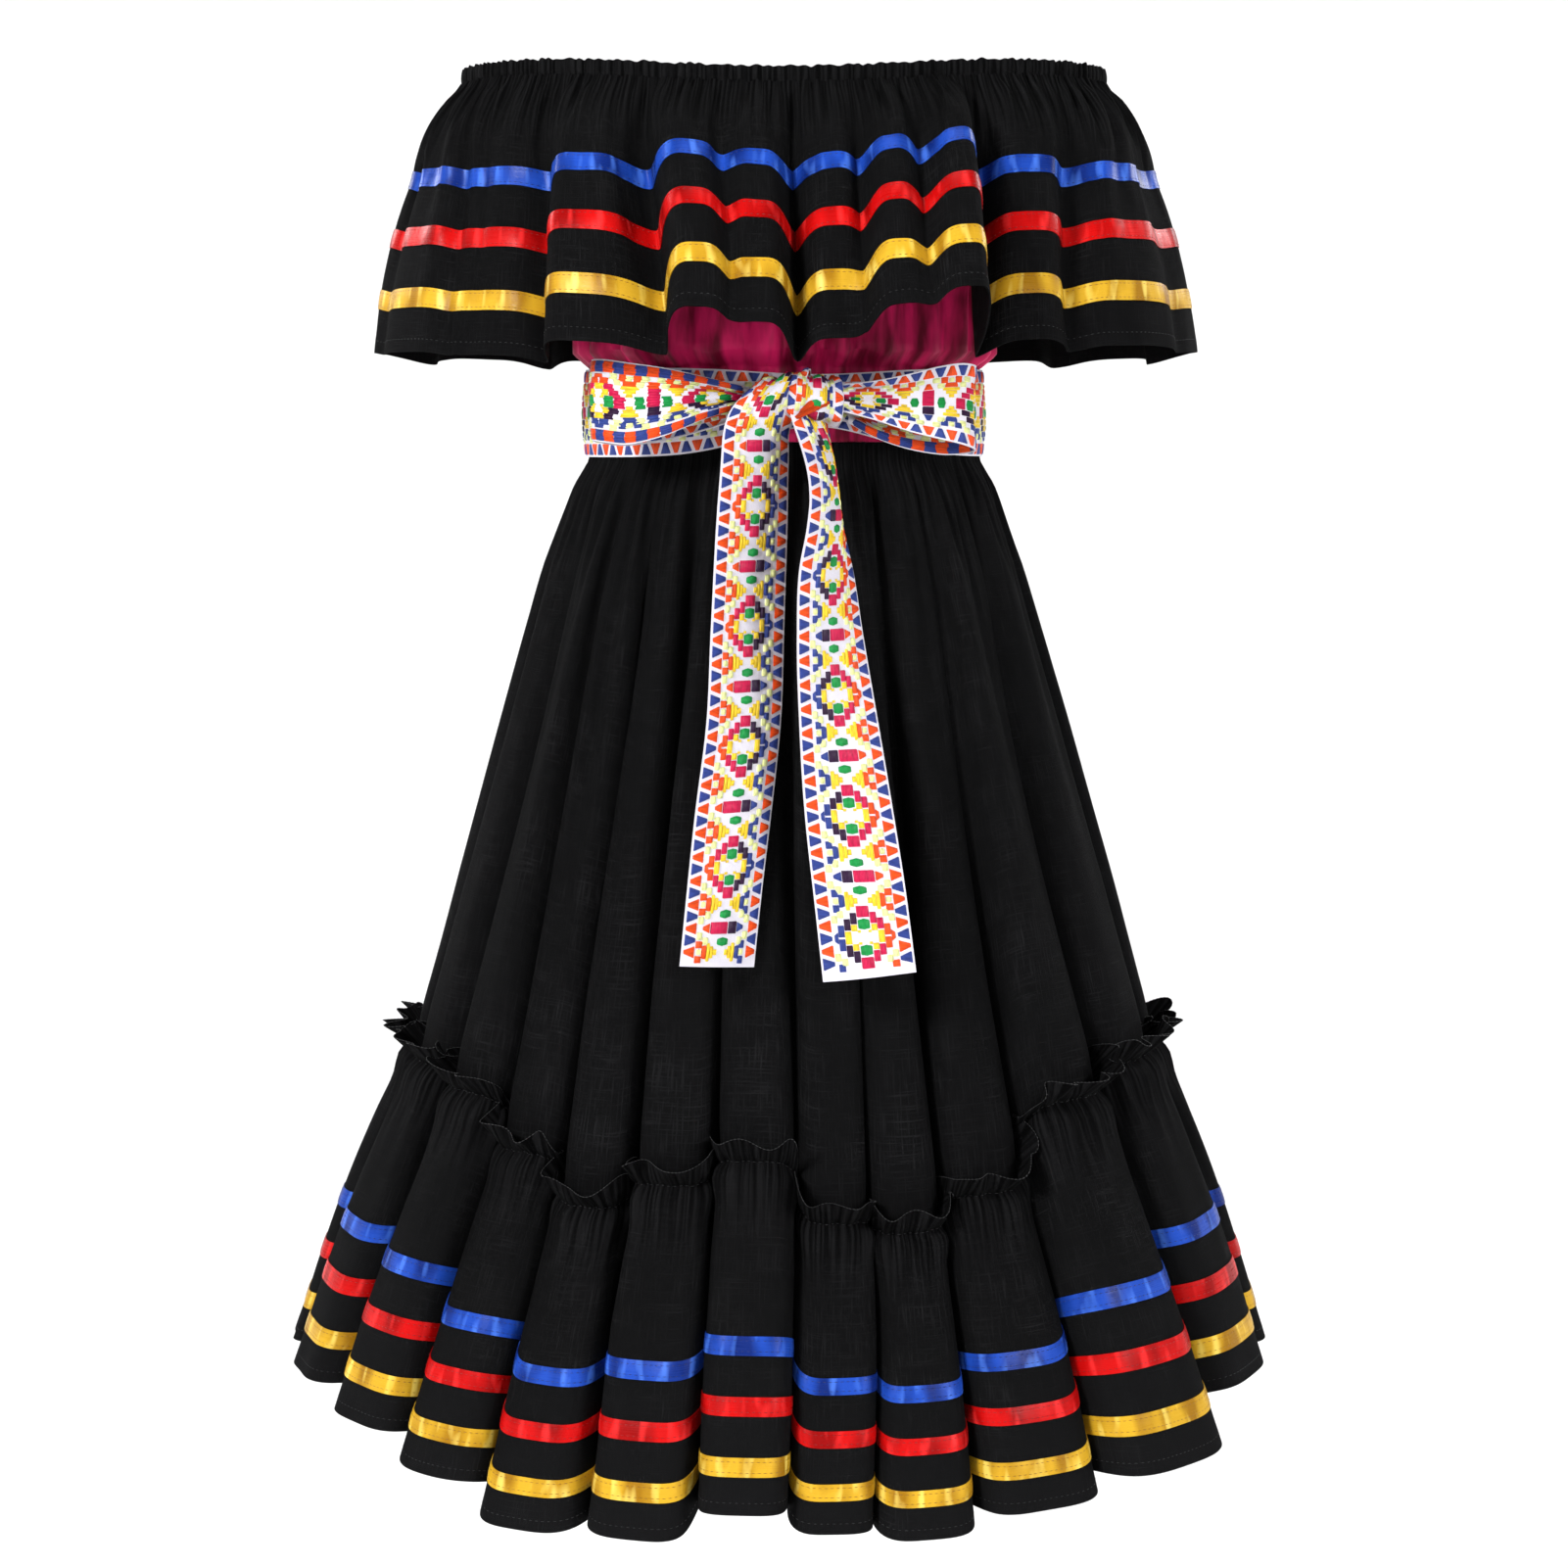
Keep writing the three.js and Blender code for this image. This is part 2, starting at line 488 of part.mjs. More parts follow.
function tierPoint(column, distance) {
  if (distance <= 0) {
    const share = -distance / HEADING.cloth;
    const wave = HEADING.wave * column.side * share;
    const point = seamPoint(column, -HEADING.flare * share - wave);
    return point.setZ(point.z + HEADING.rise * share);
  }
  const share = distance / TIER_LENGTH;
  const swell = lerp(SWELL.seam, SWELL.hem, share);
  const degrees = lerp(slide(column, 'seamAt', swell), slide(column, 'hemAt', swell), share);
  const belly = TIER_BELLY * Math.sin(Math.PI * share);
  const out = lerp(fall(column, 'seamOut'), fall(column, 'hemOut'), share) + belly;
  const width = lerp(SEAM.width, HEM.width, share);
  const depth = lerp(SEAM.depth, HEM.depth, share);
  return roundPoint(width, depth, degrees, out, lerp(fall(column, 'seam'), fall(column, 'hem'), share));
}

function skirtAndFlounce() {
  const distances = rowsWithRibbons(TIER_ROWS, TIER_RIBBONS);
  const halves = [
    { end: 'front', folds: skirtFolds(SKIRT_FRONT, -90), half: -1, steps: FINE_STEPS },
    { end: 'back', folds: skirtFolds(SKIRT_BACK, 90), half: 1, steps: COARSE_STEPS },
  ];
  const panels = halves.map(({ end, folds, half, steps }) => {
    const columns = foldColumns(folds, steps);
    const tierGrid = distances.map((distance) => columns.map((column) => tierPoint(column, distance)));
    const tier = halfPanel(tierGrid, half);
    addPanel(`hem_flounce_${end}`, tier, 'black');

    const skirtGrid = SKIRT_ROWS.map((row) => columns.map((column) => skirtPoint(column, row)));
    const skirt = halfPanel(skirtGrid, half);
    levelRow(skirt.normals[0]);
    const seam = distances.indexOf(0);
    skirt.normals[skirt.normals.length - 1] = tier.normals[seam];
    skirt.grid.at(-1).forEach((point, c) => {
      point.copy(tier.grid[seam][c]).addScaledVector(tier.normals[seam][c], -STACKED);
    });
    addPanel(`skirt_${end}`, skirt, 'black');
    return tier;
  });
  Object.entries(TIER_RIBBONS).forEach(([color, middle]) => {
    const row = distances.indexOf(middle - RIBBON_WIDTH / 2);
    addRibbon(`hem_ribbon_${color}`, panels, row, color);
  });
}

// ---- Sash --------------------------------------------------------------------------------------
function addSashWall(name, grid, closed) {
  const normals = gridNormals(grid, closed);
  addPiece(name, wallGeometry(grid, normals, -SASH.wall / 2, SASH.wall / 2, closed), 'sash');
}

function sashBand() {
  const grid = [0, 1].map((row) => {
    const points = [];
    for (let c = 0; c < BAND_COLUMNS; c += 1) {
      const degrees = (360 * c) / BAND_COLUMNS - 180;
      const point = roundPoint(SASH.bandWidth, SASH.bandDepth, degrees, 0, 0);
      const near = point.y < 0 ? Math.exp(-((point.x / BAND_SQUEEZE.reach) ** 2)) : 0;
      const top = SASH.top - BAND_SQUEEZE.top * near;
      const bottom = SASH.top - SASH.width + BAND_SQUEEZE.bottom * near;
      points.push(point.setZ(row ? bottom : top));
    }
    return points;
  });
  addSashWall('sash_band', grid, true);
}

function sashTail(name, rows) {
  const grid = rows.map((row) => {
    const points = [];
    const across = new THREE.Vector3(Math.cos(radians(row.turn)), Math.sin(radians(row.turn)), 0);
    const outward = new THREE.Vector3(across.y, -across.x, 0);
    for (let c = 0; c <= TAIL_ACROSS; c += 1) {
      const part = c / TAIL_ACROSS - 0.5;
      const cup = TAIL_CUP * (1 - 4 * part * part);
      const point = new THREE.Vector3(row.x, row.y, row.level);
      points.push(point.addScaledVector(across, part * row.width).addScaledVector(outward, cup));
    }
    return points;
  });
  addSashWall(name, grid, false);
}

function sashLoop(name, stations) {
  const grid = [0, 0.5, 1].map((part) => stations.map((station) => (
    new THREE.Vector3(station.x, station.y, lerp(station.top, station.bottom, part))
  )));
  addSashWall(name, grid, false);
}

/** The knot: a rounded block whose sides meet the loops and whose back meets the band. */
function sashKnot() {
  const sphere = new THREE.SphereGeometry(1, KNOT.segments, KNOT.segments / 2);
  sphere.rotateX(Math.PI / 2);
  sphere.deleteAttribute('normal');
  sphere.deleteAttribute('uv');
  const geometry = mergeVertices(sphere, 1e-4);
  const place = geometry.attributes.position;
  for (let i = 0; i < place.count; i += 1) {
    const point = new THREE.Vector3().fromBufferAttribute(place, i);
    const powers = point.toArray().reduce((sum, value) => sum + Math.abs(value) ** KNOT.squareness, 0);
    point.divideScalar(powers ** (1 / KNOT.squareness));
    point.multiply(new THREE.Vector3(KNOT_HALF.width, KNOT_HALF.depth, KNOT_HALF.height));
    point.add(new THREE.Vector3(KNOT.x, KNOT.y, KNOT.level));
    place.setXYZ(i, point.x, point.y, point.z);
  }
  geometry.computeVertexNormals();
  addPiece('sash_knot', geometry, 'sash');
}

neckCasing();
collar();
bodicePanel('bodice_front', -1);
bodicePanel('bodice_back', 1);
skirtAndFlounce();
sashBand();
sashLoop('sash_loop_left', LOOP_LEFT);
sashLoop('sash_loop_right', LOOP_RIGHT);
sashTail('sash_tail_left', TAIL_LEFT);
sashTail('sash_tail_right', TAIL_RIGHT);
sashKnot();

export default dress;
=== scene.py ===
"""The looks of a girl's off-the-shoulder folk dress: gathered black cotton with satin ribbons,
a magenta bodice and a woven sash tied in a bow.

Shapes are worked out in millimetres on the same fold tables as the dress's solids, and meshes are
made in metres. +Z is up, -Y is the front, +X the wearer's left, and the origin is the middle of the
neckline. A grid of cloth points has its first index down the cloth and its second to the right,
seen from outside; on the sash the first index runs along it and the second across.
"""

import json
import math
from collections import namedtuple

import bpy
import numpy as np
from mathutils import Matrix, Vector

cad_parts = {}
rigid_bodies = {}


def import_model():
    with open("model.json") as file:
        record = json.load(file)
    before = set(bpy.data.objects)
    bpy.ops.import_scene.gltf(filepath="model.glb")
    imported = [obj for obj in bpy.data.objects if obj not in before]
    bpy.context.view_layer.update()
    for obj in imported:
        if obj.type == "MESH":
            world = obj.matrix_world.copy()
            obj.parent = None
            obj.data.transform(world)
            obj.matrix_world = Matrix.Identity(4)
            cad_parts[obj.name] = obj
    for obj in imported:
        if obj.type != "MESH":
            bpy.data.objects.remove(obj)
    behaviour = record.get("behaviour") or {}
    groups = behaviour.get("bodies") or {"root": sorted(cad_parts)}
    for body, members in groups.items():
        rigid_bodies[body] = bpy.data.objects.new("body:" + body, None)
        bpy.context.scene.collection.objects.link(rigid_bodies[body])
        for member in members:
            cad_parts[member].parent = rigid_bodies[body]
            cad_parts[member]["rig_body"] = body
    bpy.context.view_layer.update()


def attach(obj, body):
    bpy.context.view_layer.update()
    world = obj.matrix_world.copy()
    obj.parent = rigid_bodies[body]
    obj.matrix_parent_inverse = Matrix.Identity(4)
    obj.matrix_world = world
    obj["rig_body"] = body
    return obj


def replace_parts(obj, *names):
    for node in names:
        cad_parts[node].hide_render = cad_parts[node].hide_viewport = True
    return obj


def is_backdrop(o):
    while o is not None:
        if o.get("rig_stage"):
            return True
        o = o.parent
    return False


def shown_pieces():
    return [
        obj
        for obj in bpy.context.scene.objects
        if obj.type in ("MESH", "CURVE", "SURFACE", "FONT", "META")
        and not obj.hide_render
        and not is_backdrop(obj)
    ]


MM = 0.001

# ---- Driving dimensions ----
COTTON = 0.5  # thickness of the cotton
SEAM_GAP = 0.3
SIDE_SEAM = -0.3  # below zero, so that the halves lap and the seam shows no slit
NECK = {"width": 184, "depth": 94, "dip": 8, "power": 6}
CASING = {"height": 10, "gathers": 164}
NECK_SEED = 3  # the casing's gathers run on into the collar

COLLAR_LENGTH = 161
COLLAR_BEND = 60  # how far down the collar its middle row of folds lies
COLLAR_RIBBONS = {"blue": 60, "red": 95.5, "yellow": 131}
COLLAR_PUFF = 5
COLLAR_LAP = {"up": 1.6, "out": 0.85}  # how the collar's top edge lies over the casing
RIBBON_WIDTH = 11
# A ribbon's two faces, from the middle of the cotton, and how much its outer face is rounded.
RIBBON = {"inner": 0.32, "outer": 0.72, "crown": 0.22}

WAIST_LEVEL = -212
SEAM = {"width": 222.5, "depth": 175}
HEM = {"width": 292, "depth": 232}
HEM_FOLD = 31  # a trough this deep at the hem is as deep as SEAM_FOLD at the flounce's seam
SEAM_FOLD = 21
TROUGH_LIFT = 3  # how much higher the hem hangs in a trough
DEEPER = 1.2  # troughs are this many times as deep as the table gives them
SKIRT_LENGTH = 400  # of the flat cloth, for its weave
GATHERED_SHARE = 0.12  # of the skirt, where its rows of points are closer
TIER_LENGTH = 198
NEAR_SEAM = (-10, -5, -2, 0, 2, 5, 10, 16)  # rows of points close to the flounce's seam
HEADING = {"cloth": 15, "rise": 12, "flare": 9, "corner_rise": 3.5, "corner_out": 3}
TIER_RIBBONS = {"blue": 103, "red": 137, "yellow": 171}
TIER_BELLY = 4
TURNED_HEM = 7

SASH = {"width": 50, "wall": 0.8, "band_width": 116, "band_depth": 86.5, "top": -170.5}
SASH_STEP = 1.5  # between rows of points along the sash
SASH_COLUMNS = 19
GRIDS = {"bodice": (57, 190), "band": (400, 17), "knot": (33, 48)}  # rows and columns of points
BAND_SQUEEZE = {"at": 17, "top": 4, "bottom": 17, "reach": 50}

FOLD_SHARPNESS = 1.8  # above 1, crests are broad and troughs narrow
SWELL = {"collar": 0.1, "seam": 0.31, "hem": 0.33, "heading": 0.4}  # of a crest's flanks, over its troughs
ROW_STEP = {"collar": 3.6, "tier": 6}  # between rows of points down the cloth
COLUMN_PITCH = {"collar": 0.46, "skirt": 0.46, "tier": 0.31}  # degrees between columns of points
WEAVE_STEP = {"collar": 2.4, "skirt": 2.4, "tier": 3.4}  # flat cloth to each column of points
# How far down the gathers reach at least, how much more at most, and how often and by which seed
# that changes. The skirt's is a share of its length.
REACH = {"collar": (34, 40, 23, 11), "skirt": (0.16, 0.22, 17, 21), "tier": (30, 55, 29, 34)}
# Stitches: from one to the next, a stitch's length, and the thread's width.
STITCHES = {"ribbon": (3.2, 2.5, 0.42), "hem": (3.4, 2.4, 0.4), "heading": (2.2, 2.6, 0.6)}
THREAD_RISE = {"ribbon": 0.12, "hem": 0.1}  # the middle of the thread over the cloth


def table(names, rows):
    """A table with a name for each column."""
    return dict(zip(names.split(), np.array(rows, float).T))


# ---- Folds ----
# Collar: angles round the neckline from the front, and how far the cloth stands out at its middle
# and at its hem. Rows are a crest, a trough, a crest and so on, from one side seam to the other.
COLLAR_FRONT = table("mid_at hem_at mid hem", [
    (-90, -90, 29, 53),
    (-81, -80, 25, 50),
    (-71, -69, 27, 51),
    (-62, -58, 21, 47),
    (-51, -48, 23, 46),
    (-42, -39, 15, 36),
    (-34, -31, 36, 65),
    (-24, -17, 23, 60),
    (-15, -11, 46, 99),
    (-10, -7, 38, 93),
    (-4, -3, 42, 90),
    (1, 2, 25, 54),
    (7, 7, 40, 74),
    (11, 11, 35, 83),
    (16, 15, 47, 99),
    (21, 19, 40, 102),
    (27, 24, 49, 108),
    (33, 29, 18, 50),
    (41, 36, 34, 67),
    (53, 45, 21, 53),
    (65, 57, 30, 59),
    (77, 74, 25, 52),
    (90, 90, 29, 54),
])
COLLAR_BACK = table("mid_at hem_at mid hem", [
    (90, 90, 29, 54),
    (103, 102, 16, 38),
    (115, 114, 27, 50),
    (128, 128, 15, 36),
    (140, 141, 28, 54),
    (152, 152, 16, 37),
    (164, 165, 31, 59),
    (176, 177, 17, 39),
    (188, 187, 28, 53),
    (200, 199, 15, 36),
    (212, 213, 30, 56),
    (224, 224, 16, 37),
    (236, 235, 27, 52),
    (252, 253, 16, 39),
    (270, 270, 29, 53),
])

# Skirt and hem flounce: each crest's angle and level at the flounce seam and at the hem, the depth
# of the trough after it, and how far the crest is pushed out at the hem.
FLUTES = "seam_at hem_at seam hem depth push"
SKIRT_FRONT = table(FLUTES, [
    (-90, -90, -566, -745, 26, 3),
    (-71, -74, -568, -749, 30, 3),
    (-54, -56, -576, -759, 27, 0),
    (-41.5, -42.5, -604, -775, 28, 0),
    (-30, -30, -630, -795, 42, 0),
    (-16.5, -15.5, -614, -792, 34, 2),
    (-4, -4, -599, -774, 26, 6),
    (7.5, 5, -634, -789, 24, -6),
    (18, 15.5, -641, -794, 34, -4),
    (31, 29, -623, -785, 30, -3),
    (46, 48, -577, -773, 36, 9),
    (69, 70, -564, -746, 30, -1),
    (90, 90, -564, -744, 26, -3),
])
SKIRT_BACK = table(FLUTES, [
    (90, 90, -564, -744, 26, -3),
    (107, 107, -566, -748, 30, 2),
    (123, 124, -573, -757, 33, 0),
    (139, 139, -584, -768, 29, 3),
    (156, 157, -598, -777, 36, -2),
    (173, 172, -606, -783, 31, 4),
    (189, 190, -604, -782, 35, 0),
    (207, 207, -594, -776, 30, 3),
    (225, 224, -579, -766, 34, -2),
    (239, 240, -572, -755, 28, 2),
    (254, 254, -567, -749, 26, 0),
    (270, 270, -566, -745, 26, 3),
])
SKIRT_ROWS = table("down width depth fold", [
    (0, 112.5, 83, 0),
    (0.028, 113, 83.5, 0),
    (0.07, 121.5, 92, 0.12),
    (0.2, 138, 106, 0.3),
    (0.45, 165, 128, 0.55),
    (0.72, 194, 152, 0.8),
    (1, 222.5, 175, 1),
])
BODICE_ROWS = table("down level width depth edge dip fold", [
    (0, -10.3, 183.5, 91.5, 42.5, 1, 0.4),
    (1, -36, 165, 91.5, 48.5, 0.6, 1.2),
    (2, -64, 143, 91.5, 60, 0.3, 1.6),
    (3, -92, 124, 91.5, 90, 0, 2.2),
    (4, -128, 122, 92, 90, 0, 2.8),
    (5, -161, 122, 93, 90, 0, 2.2),
    (6, -169.5, 113, 83.5, 90, 0, 1),
    (7, -186, 112.5, 83, 90, 0, 0.8),
    (8, -211.85, 112.5, 83, 90, 0, 0.8),
])

# Small creases pressed or hung into the cloth: angle, where along the cloth it starts and ends, how
# far it leans to the left in degrees, half its width in millimetres, and its height (below zero, a
# trough).
COLLAR_CREASES = table("at start end lean width height", [
    (-84, 20, 120, 2, 3.5, -1.1),
    (-66, 12, 90, -3, 3, 1.0),
    (-56, 30, 150, 2, 4, -1.2),
    (-46, 10, 75, 3, 2.6, -0.9),
    (-37, 14, 70, -2, 2.4, -1.0),
    (-29, 30, 140, 3, 3.5, -1.2),
    (-20, 8, 60, -1.5, 2.2, -0.9),
    (-12, 10, 80, 1.5, 2.6, -1.1),
    (-6, 60, 155, -1.5, 3, 1.0),
    (4, 8, 95, 1, 2.6, -1.2),
    (13, 12, 70, -2, 2.4, -0.9),
    (18, 50, 150, 1, 3.4, -1.0),
    (25, 10, 85, -1.5, 2.8, -1.1),
    (38, 16, 110, 2, 3, -1.0),
    (48, 10, 80, -2, 3, 0.9),
    (59, 24, 140, 2, 3.6, -1.2),
    (71, 12, 100, -2.5, 3.2, -1.0),
    (83, 20, 130, 1, 3.2, 0.9),
    (97, 14, 100, 2, 3, -1.0),
    (111, 20, 130, -2, 3.4, -1.1),
    (122, 10, 80, 2, 2.8, -0.9),
    (135, 18, 120, -3, 3.4, 1.0),
    (147, 12, 95, 2, 3, -1.1),
    (158, 30, 150, -2, 3.6, -1.0),
    (170, 10, 90, 2, 2.8, -1.1),
    (182, 16, 110, -1, 3, -0.9),
    (193, 10, 100, 2, 3, -1.1),
    (206, 26, 140, -2, 3.4, 1.0),
    (218, 12, 90, 2, 2.8, -1.0),
    (230, 20, 130, -2, 3.4, -1.1),
    (244, 10, 95, 2, 3, -0.9),
    (260, 16, 120, -2, 3.2, -1.1),
])
TIER_CREASES = table("at start end lean width height", [
    (-83, 10, 120, 2, 4, -1.3),
    (-76, 30, 190, -2, 4.5, 1.1),
    (-66, 8, 90, 2, 3.5, -1.2),
    (-58, 14, 150, -2, 4, -1.3),
    (-50, 10, 100, 2, 3.4, 1.0),
    (-45, 20, 170, 1, 4, -1.2),
    (-38, 8, 110, -2, 3.4, -1.3),
    (-27, 12, 160, 1, 4, -1.2),
    (-19, 8, 80, -2, 3, -1.2),
    (-13, 20, 180, 2, 4.5, 1.2),
    (-7, 10, 110, -1, 3.4, -1.2),
    (0, 8, 130, 1, 3.4, -1.1),
    (9, 14, 120, -1, 3, -1.2),
    (15, 8, 90, 2, 3, -1.1),
    (21, 24, 180, -1, 4, 1.1),
    (28, 8, 100, 2, 3.4, -1.2),
    (35, 16, 150, -2, 4, -1.3),
    (43, 8, 120, 2, 4, -1.2),
    (51, 12, 170, -3, 4.6, 1.3),
    (60, 8, 100, 2, 3.6, -1.2),
    (73, 14, 150, -2, 4.2, -1.3),
    (84, 10, 110, 2, 3.6, -1.1),
    (98, 10, 130, 2, 4, -1.2),
    (113, 16, 160, -2, 4.2, -1.2),
    (129, 8, 110, 2, 3.6, 1.1),
    (144, 12, 150, -2, 4, -1.3),
    (161, 10, 120, 2, 3.8, -1.1),
    (178, 18, 180, -1, 4.4, -1.2),
    (195, 8, 110, 2, 3.6, 1.1),
    (212, 12, 150, -2, 4, -1.2),
    (229, 10, 120, 2, 3.8, -1.2),
    (246, 16, 170, -2, 4.2, -1.2),
    (261, 8, 110, 2, 3.6, -1.1),
])

# ---- Sash ----
# Strips: the middle line, the strip's turn in plan, its width as it lies, how much higher its
# right edge is, and how far it bulges. The left end starts behind the knot and comes over it.
STRIP = "x y level turn width lean cup"
END_LEFT = table(STRIP, [
    (3, -94, -182, -6, 24, 6, 3),
    (2, -104, -176.5, -4, 26, 6, 4),
    (-1.5, -112, -177.5, 2, 29, 6, 4),
    (-7, -116.2, -185, 12, 34, 5, 4),
    (-11.5, -117, -194, 24, 39, 3, 3),
    (-14.5, -115.8, -204.5, 36, 44, 1, 2),
    (-15.5, -115.3, -222, 42, 49, 0, 1.6),
    (-17, -119, -250, 40, 50, 0, 1.6),
    (-20, -131, -313, 38, 50, 0, 1.6),
    (-22, -142, -364, 38, 50, 0, 1.6),
    (-27, -153, -410, 36, 50, 0, 1.6),
    (-32, -164, -455, 37, 50, -2, 1.6),
    (-36, -173, -492, 38, 50, -6, 1.6),
])
END_RIGHT = table(STRIP, [
    (11.5, -103, -193, 40, 22, 0, 4),
    (14.5, -107, -204.5, 58, 32, 0, 6),
    (18.5, -112, -222, 71, 41, 0, 7),
    (21, -118, -240, 73, 45, 0, 7),
    (22.5, -123, -258, 66, 48, 0, 6),
    (23, -128, -278, 55, 50, 0, 4),
    (25, -136, -317, 43, 50, 0, 2.5),
    (30, -146, -368, 30, 50, 0, 1.6),
    (35, -156, -410, 18, 50, 0, 1.6),
    (41, -166, -455, 6, 50, 1, 1.6),
    (46, -177, -497, 2, 50, 5, 1.6),
])
KNOT_WRAP = table(STRIP, [
    (16, -94, -182, 10, 24, -2, 3),
    (17, -104, -176.8, 12, 27, -3, 4),
    (17, -110.5, -178.8, 14, 30, -5, 4),
    (17, -112.8, -187, 14, 31, -6, 4),
    (16, -109.5, -196.5, 10, 31, -4, 4),
    (15, -101, -201, 8, 27, -3, 3),
])
KNOT_TUCK = table(STRIP, [
    (3, -111.5, -197.5, 90, 1, 6, 1),
    (9, -116.2, -193.5, 90, 2, 10, 2.8),
    (16, -116.4, -189.5, 90, 2, 12, 3),
    (23, -112.5, -187, 90, 2, 12, 2.4),
    (28, -104, -186.5, 90, 1, 10, 1),
])
LOOP_LEFT = table("x y top bottom", [
    (-19, -104, -183, -192),
    (-27.2, -108, -181, -194),
    (-44, -114, -176.5, -199.5),
    (-64, -118, -172, -208),
    (-84, -116, -169, -213),
    (-98, -110, -167, -212),
    (-105, -101, -167, -211),
    (-103, -93, -168, -212),
    (-88, -90, -170, -214),
    (-66, -90, -174, -211),
    (-46, -92, -178, -206),
    (-27.2, -95, -180, -200),
])
LOOP_RIGHT = table("x y top bottom", [
    (20, -104, -182, -192),
    (32, -108, -180.5, -195),
    (50, -113, -178.5, -200),
    (68, -116, -175, -206),
    (84, -114, -171, -210),
    (97, -109, -169, -213),
    (105, -101, -170, -216),
    (103, -93, -172, -218),
    (89, -89, -175, -219),
    (70, -89, -178, -216),
    (52, -91, -181, -210),
    (35.2, -95, -182, -201),
])
KNOT = {"middle": (4, -100.8, -189), "half": (19, 9.5, 11), "squareness": 4}

# The woven pattern: one repeat is 20 rows long and 9 columns wide between its two borders. A block
# is a patch of thread from one column and row to another; start and end are the shares of its
# height at its two ends, and bulge is what is added in the middle. The strands of an upright block
# run along the sash. The first list is woven again upside down.
SASH_REPEAT = 66.0
SASH_ROW = SASH_REPEAT / 20
SASH_COLUMN = 3.55
BORDER = {"from": 17.4, "to": 24.1, "narrow": 0.28, "height": 2.2}
FLOSS_RELIEF = 0.75  # how high a block stands on the ground
FLOAT_WIDTH = 1.25  # of a loose thread on the wrong side
SASH_MARGIN = 1.5  # bare cloth at each end of a stretch
Block = namedtuple("Block", "thread left right low high start end bulge upright", defaults=[True])
MIRRORED_BLOCKS = [
    ("magenta", -1, 1, 3.25, 5.2, 1, 1, 0),
    ("magenta", -2, -1, 2.2, 4.15, 1, 1, 0),
    ("magenta", -3, -2, 1.2, 3.15, 1, 1, 0),
    ("aubergine", 1, 2, 2.15, 4.1, 1, 1, 0),
    ("aubergine", 2, 3, 1.15, 3.1, 1, 1, 0),
    ("green", -0.95, 0.95, 1.2, 3.1, 0.7, 0.7, 0.3),
    ("orange", -4, -3, 0.1, 2.1, 1, 1, 0),
    ("blue", 3, 4, 0.1, 2.1, 1, 1, 0),
    ("yellow", -2, -1.05, 1.0, 2.15, 1, 1, 0),
    ("yellow", 1.05, 2, 1.0, 2.15, 1, 1, 0),
    ("yellow", -1.05, -0.55, 0.75, 1.2, 1, 1, 0),
    ("yellow", 0.55, 1.05, 0.75, 1.2, 1, 1, 0),
    ("green", -1.1, 1.1, 6.95, 8.5, 0.5, 0.5, 0.5),
    ("orange", -4.85, -3.65, 4.1, 5.4, 1, 0.9, 0),
    ("orange", -4.85, -3.65, 6.6, 7.9, 1, 0.9, 0),
    ("orange", -3.75, -2.9, 4.8, 7.2, 0.8, 1, 0.1),
    ("cream", -4.65, -3.8, 5.45, 6.55, 0.6, 0.6, 0.4),
    ("yellow", -2.9, -2.3, 4.4, 7.6, 1, 1, 0),
    ("yellow", -2.3, -1.65, 4.95, 7.05, 1, 1, 0),
    ("yellow", -1.65, -1.0, 5.5, 6.5, 1, 1, 0),
    ("blue", 3.35, 4.4, 4.1, 5.4, 1, 1, 0),
    ("blue", 2.5, 3.4, 4.9, 7.1, 0.8, 1, 0.1),
    ("blue", 3.35, 4.4, 6.6, 7.9, 1, 1, 0),
    ("cream", 3.4, 4.3, 5.45, 6.55, 0.6, 0.6, 0.4),
    ("yellow", 1.8, 2.45, 4.4, 7.6, 1, 1, 0),
    ("yellow", 1.15, 1.8, 4.95, 7.05, 1, 1, 0),
    ("yellow", 0.55, 1.15, 5.5, 6.5, 1, 1, 0),
    ("cream", -4.85, -3.85, 2.35, 3.7, 0.85, 0.85, 0.2),
    ("cream", -3.9, -2.9, 3.2, 4.5, 0.85, 0.85, 0.2),
    ("cream", 3.85, 4.85, 2.35, 3.7, 0.85, 0.85, 0.2),
    ("cream", 2.9, 3.9, 3.2, 4.5, 0.85, 0.85, 0.2),
    ("cream", -3.75, -2.7, 7.2, 8.5, 0.85, 0.85, 0.2),
    ("cream", -4.85, -3.8, 8.0, 9.35, 0.85, 0.85, 0.2),
    ("cream", 2.7, 3.75, 7.2, 8.5, 0.85, 0.85, 0.2),
    ("cream", 3.8, 4.85, 8.0, 9.35, 0.85, 0.85, 0.2),
]
SINGLE_BLOCKS = [
    ("orange", -4.6, -4, -1.05, 1.05, 0.5, 1, 0),
    ("blue", 4, 4.6, -1.05, 1.05, 1, 0.5, 0),
    ("yellow", -3, -2, -1.1, 1.1, 1, 1, 0),
    ("yellow", 2, 3, -1.1, 1.1, 1, 1, 0),
    ("orange", -3.9, -2.6, 9.1, 10.9, 0.3, 1, 0),
    ("magenta", -2.6, 0.8, 8.95, 11.05, 1, 1, 0),
    ("aubergine", 0.8, 2.5, 8.95, 11.05, 1, 1, 0),
    ("blue", 2.5, 3.8, 9.1, 10.9, 1, 0.3, 0),
]

